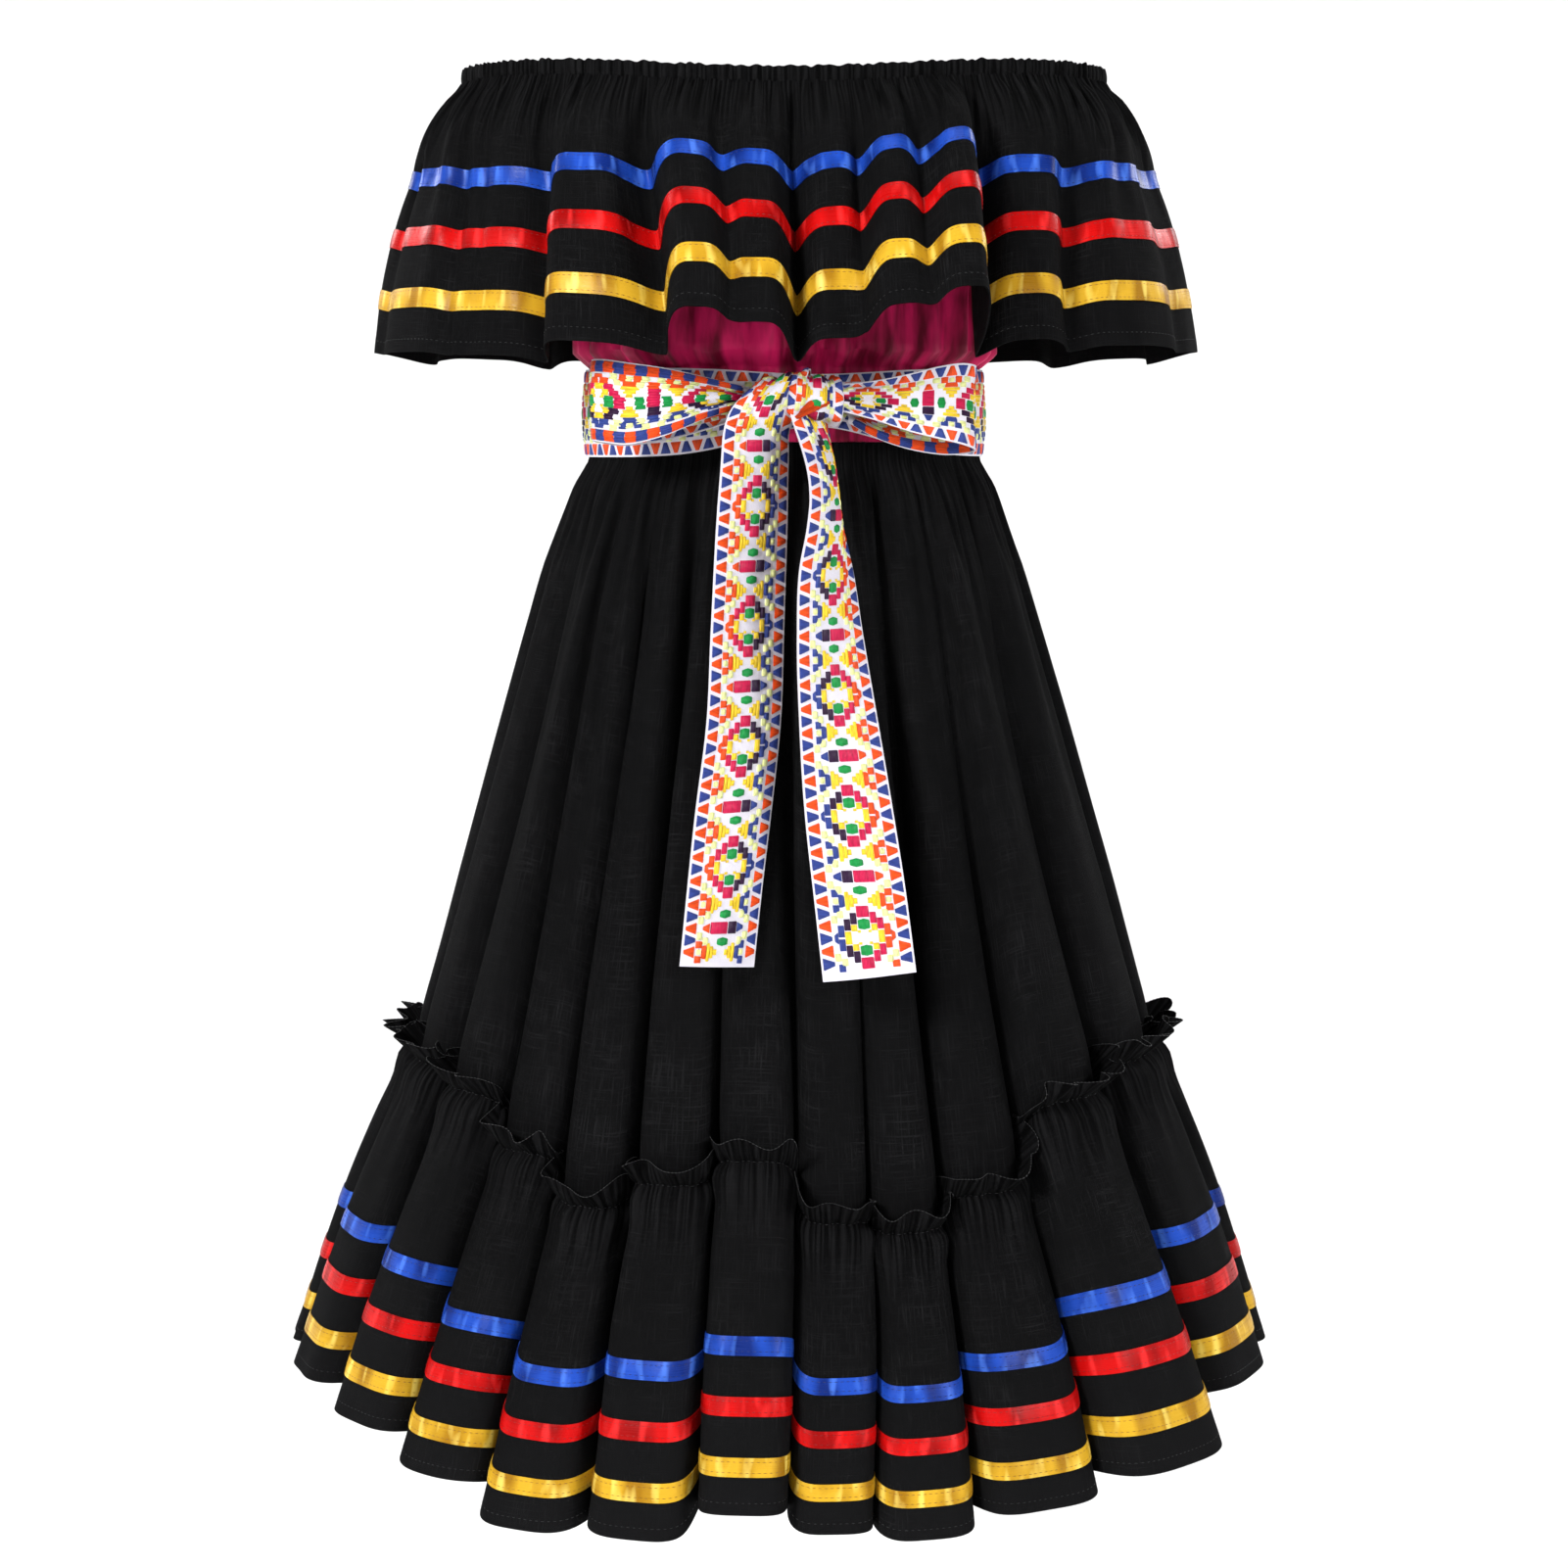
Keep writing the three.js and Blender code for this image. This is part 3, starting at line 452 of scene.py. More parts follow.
# ---- Colours, linear ----
BLACK = (0.0034, 0.0034, 0.0036)
SLUB = (0.0110, 0.0110, 0.0116)
# Each satin: its lit tone, its painted shade tone and its painted highlight colour.
SATINS = {
    "blue": ((0.011, 0.052, 0.34), (0.002, 0.010, 0.095), (0.07, 0.19, 0.70)),
    "red": ((0.44, 0.003, 0.003), (0.19, 0.001, 0.001), (0.80, 0.030, 0.030)),
    "yellow": ((0.52, 0.300, 0.018), (0.23, 0.100, 0.003), (0.88, 0.70, 0.16)),
}
# The magenta's lit tone and its painted shade tone.
MAGENTA = ((0.58, 0.010, 0.100), (0.13, 0.001, 0.017))
BLACK_THREAD = (0.012, 0.012, 0.013)
EDGING_THREAD = (0.014, 0.014, 0.015)
SASH_WHITE = (0.80, 0.77, 0.86)
THREADS = {
    "magenta": (0.62, 0.008, 0.075),
    "aubergine": (0.026, 0.005, 0.036),
    "orange": (0.88, 0.080, 0.008),
    "blue": (0.030, 0.056, 0.27),
    "green": (0.006, 0.30, 0.060),
    "yellow": (0.96, 0.66, 0.030),
    "cream": (0.86, 0.90, 0.38),
}


# ---- Geometry helpers ----
def lerp(a, b, share):
    return a + (b - a) * share


def smoothstep(value, low=0.0, high=1.0):
    share = np.clip((value - low) / (high - low), 0, 1)
    return share * share * (3 - 2 * share)


def through(at, places, values):
    """Values on a smooth curve through a table's rows."""
    slopes = np.gradient(values, places)
    i = np.clip(np.searchsorted(places, at) - 1, 0, len(places) - 2)
    span = places[i + 1] - places[i]
    t = (at - places[i]) / span
    start = (2 * t**3 - 3 * t**2 + 1) * values[i] + (t**3 - 2 * t**2 + t) * span * slopes[i]
    end = (3 * t**2 - 2 * t**3) * values[i + 1] + (t**3 - t**2) * span * slopes[i + 1]
    return start + end


def fold_columns(angles, pitch, fewest=13):
    """Columns across a table of folds: the crest's row, the trough's row and the way between them."""
    steps = np.maximum(fewest, np.round(np.abs(np.diff(angles)) / pitch)).astype(int)
    first = np.append(np.repeat(np.arange(len(steps)), steps), len(steps) - 1)
    part = np.append(np.concatenate([np.arange(count) / count for count in steps]), 1)
    odd = first % 2 == 1
    return np.where(odd, first + 1, first), np.where(odd, first, first + 1), np.where(odd, 1 - part, part)


def fall(columns, values):
    """A value that falls from a crest to its trough along a broad rounded crest."""
    crest, trough, share = columns
    return lerp(values[crest], values[trough], smoothstep(share**FOLD_SHARPNESS))


def slide(columns, values, swell):
    """An angle between a crest and a trough; swell moves the crest's flanks outwards."""
    crest, trough, share = columns
    return lerp(values[crest], values[trough], share + swell * np.sin(np.pi * share))


def round_points(width, depth, degrees, out, level):
    """Points on an ellipse round the dress, moved out along its normal."""
    angle = np.radians(degrees)
    outward = np.stack(np.broadcast_arrays(depth * np.sin(angle), -width * np.cos(angle), 0.0), -1)
    outward = outward / np.linalg.norm(outward, axis=-1, keepdims=True)
    place = np.stack(np.broadcast_arrays(width * np.sin(angle), -depth * np.cos(angle), level), -1)
    return place + outward * np.broadcast_to(out, place.shape[:-1])[..., None]


def grid_normals(grid, closed=False):
    """Unit normals of a grid of points, on the side that its first index crossed with its second gives."""
    if closed:
        across = np.roll(grid, -1, axis=1) - np.roll(grid, 1, axis=1)
    else:
        across = np.gradient(grid, axis=1)
    normals = np.cross(np.gradient(grid, axis=0), across)
    return normals / np.linalg.norm(normals, axis=-1, keepdims=True)


def moved_out(grid, height):
    """A grid moved along its normals by a height for each point."""
    return grid + grid_normals(grid) * height[..., None]


def rows_between(stops, step):
    """Rows of points that take in every stop and are about a step apart."""
    parts = []
    for start, end in zip(stops, stops[1:]):
        parts.append(np.linspace(start, end, max(1, round((end - start) / step)), endpoint=False))
    return np.append(np.concatenate(parts), stops[-1])


def uneven_wave(degrees, count, seed):
    """About count gathers round the dress, uneven in spacing and height, that join up at the back."""
    phase = np.random.default_rng(seed).uniform(0, 2 * np.pi, 4)
    turn = np.radians(degrees)
    slow, slower = round(count / 3.3), round(count / 7.1)
    wander = 1.1 * np.sin(slower * turn + phase[0]) + 0.7 * np.sin(slow * turn + phase[1])
    height = 0.72 + 0.28 * np.sin(round(count / 4.7) * turn + phase[2])
    return height * np.sin(count * turn + wander + phase[3])


def gathers(degrees, count, seed, height, grows=None, fades=None):
    """Uneven gathers; grows and fades are each a place on the cloth, and where that starts and ends."""
    wave = uneven_wave(degrees, count, seed) * height
    if grows:
        wave = wave * smoothstep(*grows)
    if fades:
        wave = wave * (1 - smoothstep(*fades))
    return wave


def hump(place, middle, width):
    """1 at a middle, and next to nothing beyond two widths from it."""
    return np.exp(-(((place - middle) / width) ** 2))


def gathers_reach(piece, degrees):
    """How far down a piece its gathers reach, which changes slowly round the dress."""
    least, more, count, seed = REACH[piece]
    phase = np.random.default_rng(seed).uniform(0, 2 * np.pi, 2)
    turn = np.radians(degrees)
    both = np.sin(count * turn + phase[0]) + 0.7 * np.sin(round(count * 1.7) * turn + phase[1])
    return least + more * (0.5 + both / 3.4)


def crease_height(creases, degrees, distance, radius):
    """The height of all the creases of a table at each point of a piece."""
    height = np.zeros(np.broadcast(degrees, distance).shape)
    for at, start, end, lean, width, peak in zip(*creases.values()):
        share = (distance - start) / (end - start)
        off = np.radians(degrees - at - lean * share) * radius
        window = np.sin(np.pi * np.clip(share, 0, 1)) ** 0.8
        height += peak * window * hump(off, 0, width)
    return height


def grid_faces(rows, columns, closed=False):
    """The four corners of every cell of a grid; closed joins its last column to its first."""
    index = np.arange(rows * columns).reshape(rows, columns)
    if closed:
        index = np.hstack([index, index[:, :1]])
    corners = [index[:-1, :-1], index[1:, :-1], index[1:, 1:], index[:-1, 1:]]
    return np.stack(corners, -1).reshape(-1, 4)


# ---- Meshes ----
def placed(name, data):
    """An object of a mesh, a lamp or a camera, in the scene."""
    piece = bpy.data.objects.new(name, data)
    bpy.context.scene.collection.objects.link(piece)
    return piece


def new_piece(name, points, faces, uvs, finishes, face_finish=None):
    """A mesh object in metres with its cloth coordinates. finishes is one material or several."""
    mesh = bpy.data.meshes.new(name)
    mesh.from_pydata((points * MM).tolist(), [], faces.tolist())
    layer = mesh.uv_layers.new(name="Cloth")
    layer.data.foreach_set("uv", (uvs * MM).astype(np.float32).ravel())
    mesh.polygons.foreach_set("use_smooth", np.ones(len(faces), bool))
    for finish in finishes if isinstance(finishes, list) else [finishes]:
        mesh.materials.append(finish)
    if face_finish is not None:
        mesh.polygons.foreach_set("material_index", np.asarray(face_finish, np.int32))
    mesh.update()
    mesh.set_sharp_from_angle(angle=math.radians(62))
    piece = placed(name, mesh)
    return piece


def wall(name, grid, inner, outer, finish, slot, closed=False, across=None, down=None, normals=None):
    """A thin closed shell on a grid. inner and outer are the heights of its two faces, for each row."""
    rows, columns = grid.shape[:2]
    normals = grid_normals(grid, closed) if normals is None else normals
    inner, outer = (np.broadcast_to(np.reshape(face, (-1, 1, 1)), (rows, 1, 1)) for face in (inner, outer))
    points = np.concatenate([(grid + normals * face).reshape(-1, 3) for face in (outer, inner)])
    if across is None:
        steps = np.linalg.norm(np.diff(grid, axis=1), axis=-1).mean(axis=0)
        last = [steps.mean()] if closed else []
        across = np.concatenate([[0], np.cumsum(np.append(steps, last))])
    if down is None:
        down = np.concatenate([[0], np.cumsum(np.linalg.norm(np.diff(grid, axis=0), axis=-1).mean(axis=1))])
    spans = columns if closed else columns - 1

    def corner(r, c, face):
        return np.stack([face * rows * columns + r * columns + c % columns, r, c], -1)

    def quads(r, c, order):
        r, c = (a.ravel() for a in np.meshgrid(r, c, indexing="ij"))
        return np.stack([corner(r + dr, c + dc, face) for dr, dc, face in order], 1)

    every_row, every_column = np.arange(rows - 1), np.arange(spans)
    parts = [
        quads(every_row, every_column, [(0, 0, 0), (1, 0, 0), (1, 1, 0), (0, 1, 0)]),
        quads(every_row, every_column, [(0, 0, 1), (0, 1, 1), (1, 1, 1), (1, 0, 1)]),
        quads(np.array([0]), every_column, [(0, 0, 1), (0, 0, 0), (0, 1, 0), (0, 1, 1)]),
        quads(np.array([rows - 1]), every_column, [(0, 0, 0), (0, 0, 1), (0, 1, 1), (0, 1, 0)]),
    ]
    if not closed:
        parts.append(quads(every_row, np.array([0]), [(0, 0, 0), (0, 0, 1), (1, 0, 1), (1, 0, 0)]))
        parts.append(quads(every_row, np.array([columns - 1]), [(0, 0, 1), (0, 0, 0), (1, 0, 0), (1, 0, 1)]))
    corners = np.concatenate(parts)
    uvs = np.stack([np.asarray(across)[corners[..., 2]], np.asarray(down)[corners[..., 1]]], -1)
    return new_piece(name, points, corners[..., 0], uvs, finish)


def stitch_tree():
    """Geometry Nodes: thread stitches, a pitch apart, along the edges of a mesh."""
    tree = bpy.data.node_groups.new("Row of stitches", "GeometryNodeTree")
    face = tree.interface
    face.new_socket("Geometry", in_out="INPUT", socket_type="NodeSocketGeometry")
    for name in ("Pitch", "Stitch length", "Thread width"):
        face.new_socket(name, in_out="INPUT", socket_type="NodeSocketFloat")
    face.new_socket("Thread", in_out="INPUT", socket_type="NodeSocketMaterial")
    face.new_socket("Geometry", in_out="OUTPUT", socket_type="NodeSocketGeometry")
    nodes = tree.nodes
    given, result = nodes.new("NodeGroupInput"), nodes.new("NodeGroupOutput")
    to_curve = nodes.new("GeometryNodeMeshToCurve")
    resample = nodes.new("GeometryNodeResampleCurve")
    resample.mode = "LENGTH"
    bead = nodes.new("GeometryNodeMeshUVSphere")
    bead.inputs["Segments"].default_value = 4
    bead.inputs["Rings"].default_value = 2
    bead.inputs["Radius"].default_value = 0.5
    place = nodes.new("GeometryNodeInstanceOnPoints")
    tangent = nodes.new("GeometryNodeInputTangent")
    align = nodes.new("FunctionNodeAlignRotationToVector")
    align.axis = "Z"
    size = nodes.new("ShaderNodeCombineXYZ")
    realize = nodes.new("GeometryNodeRealizeInstances")
    finish = nodes.new("GeometryNodeSetMaterial")
    links = [
        (given, "Geometry", to_curve, "Mesh"),
        (to_curve, "Curve", resample, "Curve"),
        (given, "Pitch", resample, "Length"),
        (resample, "Curve", place, "Points"),
        (bead, "Mesh", place, "Instance"),
        (tangent, "Tangent", align, "Vector"),
        (align, "Rotation", place, "Rotation"),
        (given, "Thread width", size, "X"),
        (given, "Thread width", size, "Y"),
        (given, "Stitch length", size, "Z"),
        (size, "Vector", place, "Scale"),
        (place, "Instances", realize, "Geometry"),
        (realize, "Geometry", finish, "Geometry"),
        (given, "Thread", finish, "Material"),
        (finish, "Geometry", result, "Geometry"),
    ]
    for source, output, target, socket in links:
        tree.links.new(source.outputs[output], target.inputs[socket])
    return tree


def sew(name, tree, lines, stitch, thread):
    """Stitches of a pitch, a length and a width along lines of points, as one mesh."""
    points, edges = [], []
    for line in lines:
        first = len(points)
        points.extend((np.asarray(line) * MM).tolist())
        edges.extend((i, i + 1) for i in range(first, len(points) - 1))
    mesh = bpy.data.meshes.new(name + "_lines")
    mesh.from_pydata(points, edges, [])
    guide = placed(name + "_lines", mesh)
    modifier = guide.modifiers.new("Stitches", "NODES")
    modifier.node_group = tree
    values = dict(zip(("Pitch", "Stitch length", "Thread width"), (size * MM for size in stitch)))
    values["Thread"] = thread
    for socket in tree.interface.items_tree:
        if socket.in_out == "INPUT" and socket.name in values:
            modifier[socket.identifier] = values[socket.name]
    graph = bpy.context.evaluated_depsgraph_get()
    sewn = bpy.data.meshes.new_from_object(guide.evaluated_get(graph))
    bpy.data.objects.remove(guide)
    sewn.name = name
    sewn.polygons.foreach_set("use_smooth", np.ones(len(sewn.polygons), bool))
    piece = placed(name, sewn)
    return piece


# ---- Materials ----
def shaded(base, share):
    """A colour made darker or lighter."""
    return tuple(value * share for value in base)


class Finish:
    """A material under construction: nodes are added by type and joined by socket names."""

    def __init__(self, name, **shader_values):
        self.material = bpy.data.materials.new(name)
        self.material.use_nodes = True
        self.tree = self.material.node_tree
        self.shader = self.tree.nodes["Principled BSDF"]
        for socket, value in shader_values.items():
            self.shader.inputs[socket.replace("_", " ")].default_value = value

    def add(self, kind, inputs=None, **properties):
        node = self.tree.nodes.new(kind)
        for name, value in properties.items():
            setattr(node, name, value)
        for socket, value in (inputs or {}).items():
            if isinstance(value, bpy.types.NodeSocket):
                self.tree.links.new(value, node.inputs[socket])
            else:
                node.inputs[socket].default_value = value
        return node

    def cloth(self, pitch_across, pitch_down):
        """Cloth coordinates, one unit for each pitch in millimetres."""
        source = self.add("ShaderNodeUVMap", uv_map="Cloth")
        scale = (1 / (pitch_across * MM), 1 / (pitch_down * MM), 1)
        values = {"Vector": source.outputs["UV"], "Scale": scale}
        return self.add("ShaderNodeMapping", values).outputs["Vector"]

    def down_cloth(self):
        """Millimetres down the cloth from its top edge or its seam."""
        return self.add("ShaderNodeSeparateXYZ", {"Vector": self.cloth(1, 1)}).outputs["Y"]

    def noise(self, place, detail):
        values = {"Vector": place, "Scale": 1.0, "Detail": detail, "Roughness": 0.5}
        return self.add("ShaderNodeTexNoise", values, noise_dimensions="2D").outputs["Fac"]

    def wave(self, place, direction, distortion):
        """Even bands, 1.6 of them to each unit of the place."""
        values = {"Vector": place, "Scale": 0.5, "Distortion": distortion, "Detail": 1.0}
        return self.add("ShaderNodeTexWave", values, bands_direction=direction).outputs["Fac"]

    def between(self, value, low, high, start=0.0, end=1.0):
        values = {"Value": value, "From Min": low, "From Max": high, "To Min": start, "To Max": end}
        return self.add("ShaderNodeMapRange", values).outputs["Result"]

    def math(self, operation, a, b):
        return self.add("ShaderNodeMath", {0: a, 1: b}, operation=operation).outputs["Value"]

    def mix(self, share, first, second):
        node = self.tree.nodes.new("ShaderNodeMix")
        node.data_type = "RGBA"
        factor, one, other = (node.inputs[i] for i in (0, 6, 7))
        for socket, value in ((factor, share), (one, first), (other, second)):
            if isinstance(value, bpy.types.NodeSocket):
                self.tree.links.new(value, socket)
            else:
                socket.default_value = (*value, 1) if isinstance(value, tuple) else value
        return node.outputs[2]

    def color(self, source):
        self.tree.links.new(source, self.shader.inputs["Base Color"])

    def roughness(self, source):
        self.tree.links.new(source, self.shader.inputs["Roughness"])

    def bump(self, height, distance, strength):
        values = {"Height": height, "Distance": distance * MM, "Strength": strength}
        bump = self.add("ShaderNodeBump", values)
        self.tree.links.new(bump.outputs["Normal"], self.shader.inputs["Normal"])


def slub_cotton(name, base, light, sheen, painted_see_through=None):
    """Thin plain-woven cotton: uneven slub yarns both ways over a fine weave, and painted shade and
    painted light in lines where it is drawn up to its seam. painted_see_through is where painted light
    showing through its weave starts, and ends."""
    finish = Finish(name, Roughness=0.85, Sheen_Weight=sheen, Sheen_Roughness=0.5, Specular_IOR_Level=0.02)
    along = finish.noise(finish.cloth(0.8, 22), detail=3)
    across = finish.noise(finish.cloth(26, 0.8), detail=3)
    weave = finish.math(
        "ADD",
        finish.wave(finish.cloth(0.55, 0.55), "X", 1.2),
        finish.wave(finish.cloth(0.55, 0.55), "Y", 1.2),
    )
    slubs = finish.math("MAXIMUM", finish.between(along, 0.52, 0.78), finish.between(across, 0.54, 0.80))
    patches = finish.between(finish.noise(finish.cloth(30, 55), detail=2), 0.35, 0.7, 0.3, 1.0)
    share = finish.math("MULTIPLY", slubs, patches)
    # Painted light showing through the weave: the colour is lighter in the weave's gaps towards the hem.
    if painted_see_through:
        below, above = painted_see_through
        thin = finish.between(finish.down_cloth(), below, above, 0.0, 0.45)
        painted_light_in_gaps = finish.math("MULTIPLY", thin, finish.between(weave, 0.6, 1.5, 0.4, 1))
        share = finish.math("MAXIMUM", share, painted_light_in_gaps)
    body = finish.mix(share, base, light)
    # Painted shade and painted light: darker and lighter lines down the cloth near its seam, where it is
    # drawn up.
    gathered = finish.between(finish.noise(finish.cloth(2.3, 80), detail=1), 0.42, 0.6)
    painted_gather_reach = finish.between(finish.down_cloth(), 4, 44, 0.85, 0.0)
    painted_gather_shade_and_light = finish.mix(gathered, shaded(base, 0.25), shaded(base, 2.0))
    finish.color(finish.mix(painted_gather_reach, body, painted_gather_shade_and_light))
    height = finish.math("ADD", finish.math("MULTIPLY", slubs, 0.8), finish.math("MULTIPLY", weave, 0.35))
    finish.bump(height, 0.16, 0.8)
    return finish.material


def satin(name, light, deep, painted_gleam):
    """Satin ribbon: fine warp lines over slow painted light and painted shade, and painted highlights across
    where it puckers.
    """
    finish = Finish(name, Roughness=0.3, Specular_IOR_Level=0.08, Anisotropic=0.5)
    lines = finish.noise(finish.cloth(14, 0.35), detail=2)
    # Painted light and painted shade in slow patches between the deep and the light tone; painted highlights
    # where the puckers are.
    slow = finish.noise(finish.cloth(17, 45), detail=1)
    pucker_and_painted_gleam = finish.noise(finish.cloth(7.5, 30), detail=1)
    lit = finish.between(slow, 0.34, 0.6, 0.0, 0.85)
    shade = finish.math("ADD", lit, finish.math("MULTIPLY", lines, 0.25))
    shine = finish.between(pucker_and_painted_gleam, 0.56, 0.76, 0.0, 0.55)
    finish.color(finish.mix(shine, finish.mix(shade, deep, light), painted_gleam))
    finish.roughness(finish.between(lines, 0.3, 0.7, 0.24, 0.38))
    finish.bump(finish.math("ADD", pucker_and_painted_gleam, finish.math("MULTIPLY", lines, 0.15)), 0.5, 0.6)
    return finish.material


def crinkled_cotton(name, light, deep):
    """Soft cotton with long irregular crinkles down it, painted shade in their hollows and painted light on
    their ridges.
    """
    finish = Finish(name, Roughness=0.5, Specular_IOR_Level=0.12)
    crinkle_and_painted_shade = finish.noise(finish.cloth(9, 46), detail=3)
    thread = finish.noise(finish.cloth(0.5, 9), detail=2)
    # Painted shade and painted light: darker where the crinkles sink, lighter where they rise.
    finish.color(finish.mix(finish.between(crinkle_and_painted_shade, 0.32, 0.66), deep, light))
    finish.bump(finish.math("ADD", crinkle_and_painted_shade, finish.math("MULTIPLY", thread, 0.15)), 1.0, 0.7)
    return finish.material


def woven_ground(name, base):
    """The sash's white ground: fine ribs across, with small grey shadows between threads."""
    finish = Finish(name, Roughness=0.62, Specular_IOR_Level=0.25)
    ribs = finish.wave(finish.cloth(0.9, 0.9), "Y", 0.6)
    threads = finish.wave(finish.cloth(0.7, 0.7), "X", 0.4)
    shade = finish.math("MULTIPLY", ribs, threads)
    finish.color(finish.mix(finish.between(shade, 0.05, 0.4), shaded(base, 0.62), base))
    finish.bump(shade, 0.16, 0.8)
    return finish.material


def floss(name, base):
    """A patch of shiny thread, its strands side by side, with painted shade between the strands."""
    finish = Finish(name, Roughness=0.42, Specular_IOR_Level=0.22)
    strands = finish.wave(finish.cloth(1.15, 1.15), "X", 0.3)
    tone = finish.noise(finish.cloth(1.3, 6), detail=2)
    painted_shade_between_strands = finish.between(strands, 0.0, 0.45, 0.3, 1.0)
    shade = finish.math("MULTIPLY", painted_shade_between_strands, finish.between(tone, 0.2, 0.55, 0.3))
    finish.color(finish.mix(shade, shaded(base, 0.4), base))
    finish.bump(strands, 0.3, 0.9)
    return finish.material


def mottled(name, first, second, scale, **shader_values):
    """A plain finish that wanders between two colours."""
    finish = Finish(name, **shader_values)
    place = finish.add("ShaderNodeTexCoord").outputs["Object"]
    tone = finish.add("ShaderNodeTexNoise", {"Vector": place, "Scale": scale}).outputs["Fac"]
    finish.color(finish.mix(tone, first, second))
    return finish.material


def sewing_thread(name, base):
    return mottled(name, shaded(base, 0.7), base, 900.0, Roughness=0.5, Specular_IOR_Level=0.5)


# ---- Cotton pieces ----
def neck_level(degrees):
    return -NECK["dip"] * np.abs(np.cos(np.radians(degrees))) ** NECK["power"]


def neck_casing(cotton):
    """The elastic casing: a folded strip with fine gathers, fuller in the middle than at its edges."""
    degrees = np.linspace(0, 360, CASING["gathers"] * 6, endpoint=False)
    down = np.linspace(0, 1, 7)[:, None]
    gather = uneven_wave(degrees, CASING["gathers"], NECK_SEED)
    edge = gathers(degrees, count=61, seed=4, height=0.45) * (1 - down)
    fullness = 0.55 + 0.25 * np.sin(np.pi * down)
    level = neck_level(degrees) - CASING["height"] * down + 0.45 * gather * (1 - down) + edge
    grid = round_points(NECK["width"], NECK["depth"], degrees[None], fullness * gather, level)
    plump = 0.45 + 0.75 * np.sin(np.pi * down[:, 0]) ** 0.7
    piece = wall("gathered_casing", grid, -plump, plump, cotton, "black_cotton", closed=True)
    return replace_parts(piece, "neck_casing")


def through_middle(distance, middle, end):
    """The parabola through nothing at the casing, a middle value and an end value."""
    span = COLLAR_LENGTH - COLLAR_BEND
    middle_share = distance * (COLLAR_LENGTH - distance) / (COLLAR_BEND * span)
    end_share = distance * (distance - COLLAR_BEND) / (COLLAR_LENGTH * span)
    return middle * middle_share + end * end_share


def collar_grid(folds, distance):
    """One half of the collar flounce, by distances down the cloth from the casing."""
    columns = fold_columns(folds["mid_at"], COLUMN_PITCH["collar"], fewest=12)
    down = distance[:, None]
    share = down / COLLAR_LENGTH
    upper = slide(columns, folds["mid_at"], 0)
    degrees = lerp(upper, slide(columns, folds["hem_at"], SWELL["collar"]), smoothstep(share))
    middle_out, hem_out = fall(columns, folds["mid"]), fall(columns, folds["hem"])
    middle_drop = np.sqrt(COLLAR_BEND**2 - middle_out**2)
    hem_drop = middle_drop + np.sqrt((COLLAR_LENGTH - COLLAR_BEND) ** 2 - (hem_out - middle_out) ** 2)
    puff = COLLAR_PUFF * np.sin(np.pi * np.minimum(down / COLLAR_BEND, 1))
    out = through_middle(down, middle_out, hem_out) + puff
    lap = COLLAR_LAP["up"] * (1 - smoothstep(down, 0, 5))
    level = neck_level(degrees) - CASING["height"] - through_middle(down, middle_drop, hem_drop) + lap
    width, depth = (NECK[name] + COLLAR_LAP["out"] for name in ("width", "depth"))
    grid = round_points(width, depth, degrees, out, level)

    reached = down / gathers_reach("collar", upper)
    relief = [
        gathers(upper, count=CASING["gathers"], seed=NECK_SEED, height=1.3, fades=(reached, 0.1, 0.8)),
        gathers(upper, count=84, seed=12, height=2.6, grows=(down, 0, 12), fades=(reached, 0.25, 1)),
        gathers(upper, count=37, seed=13, height=1.3, grows=(down, 8, 40), fades=(down, 70, 130)),
        gathers(upper, count=46, seed=14, height=0.8, grows=(down, 120, COLLAR_LENGTH)),
        crease_height(COLLAR_CREASES, upper, down, NECK["width"]),
    ]
    return moved_out(grid, sum(relief))


def turned(distance, length):
    """Half the thickness for each row: doubled over the turned hem, with a dent at its stitches."""
    turn = length - TURNED_HEM
    doubled = smoothstep(distance, turn - 0.8, turn + 0.4)
    return COTTON / 2 * (1 + 0.9 * doubled - 0.5 * hump(distance, turn + 1.2, 0.9))


def flatten_sides(grid, half):
    """Puts the side edges of a half at y = 0, where they lap the other half's."""
    grid[:, (0, -1), 1] = half * SIDE_SEAM / 2
    return grid


def ribbon_stops(start, length, ribbons, extra=()):
    """The rows that a flounce has to have: its ends, its turned hem, its ribbons' edges and others."""
    half = RIBBON_WIDTH / 2
    edges = [middle + side for middle in ribbons.values() for side in (-half, half)]
    return sorted([start, length, length - TURNED_HEM, *extra, *edges])


def joined(panels, rows):
    """The same rows of the front and the back panel, end to end, and their normals."""
    grid = np.concatenate([panel[rows][:, :-1] for panel in panels], axis=1)
    return grid, grid_normals(np.concatenate([panel[:, :-1] for panel in panels], axis=1), True)[rows]


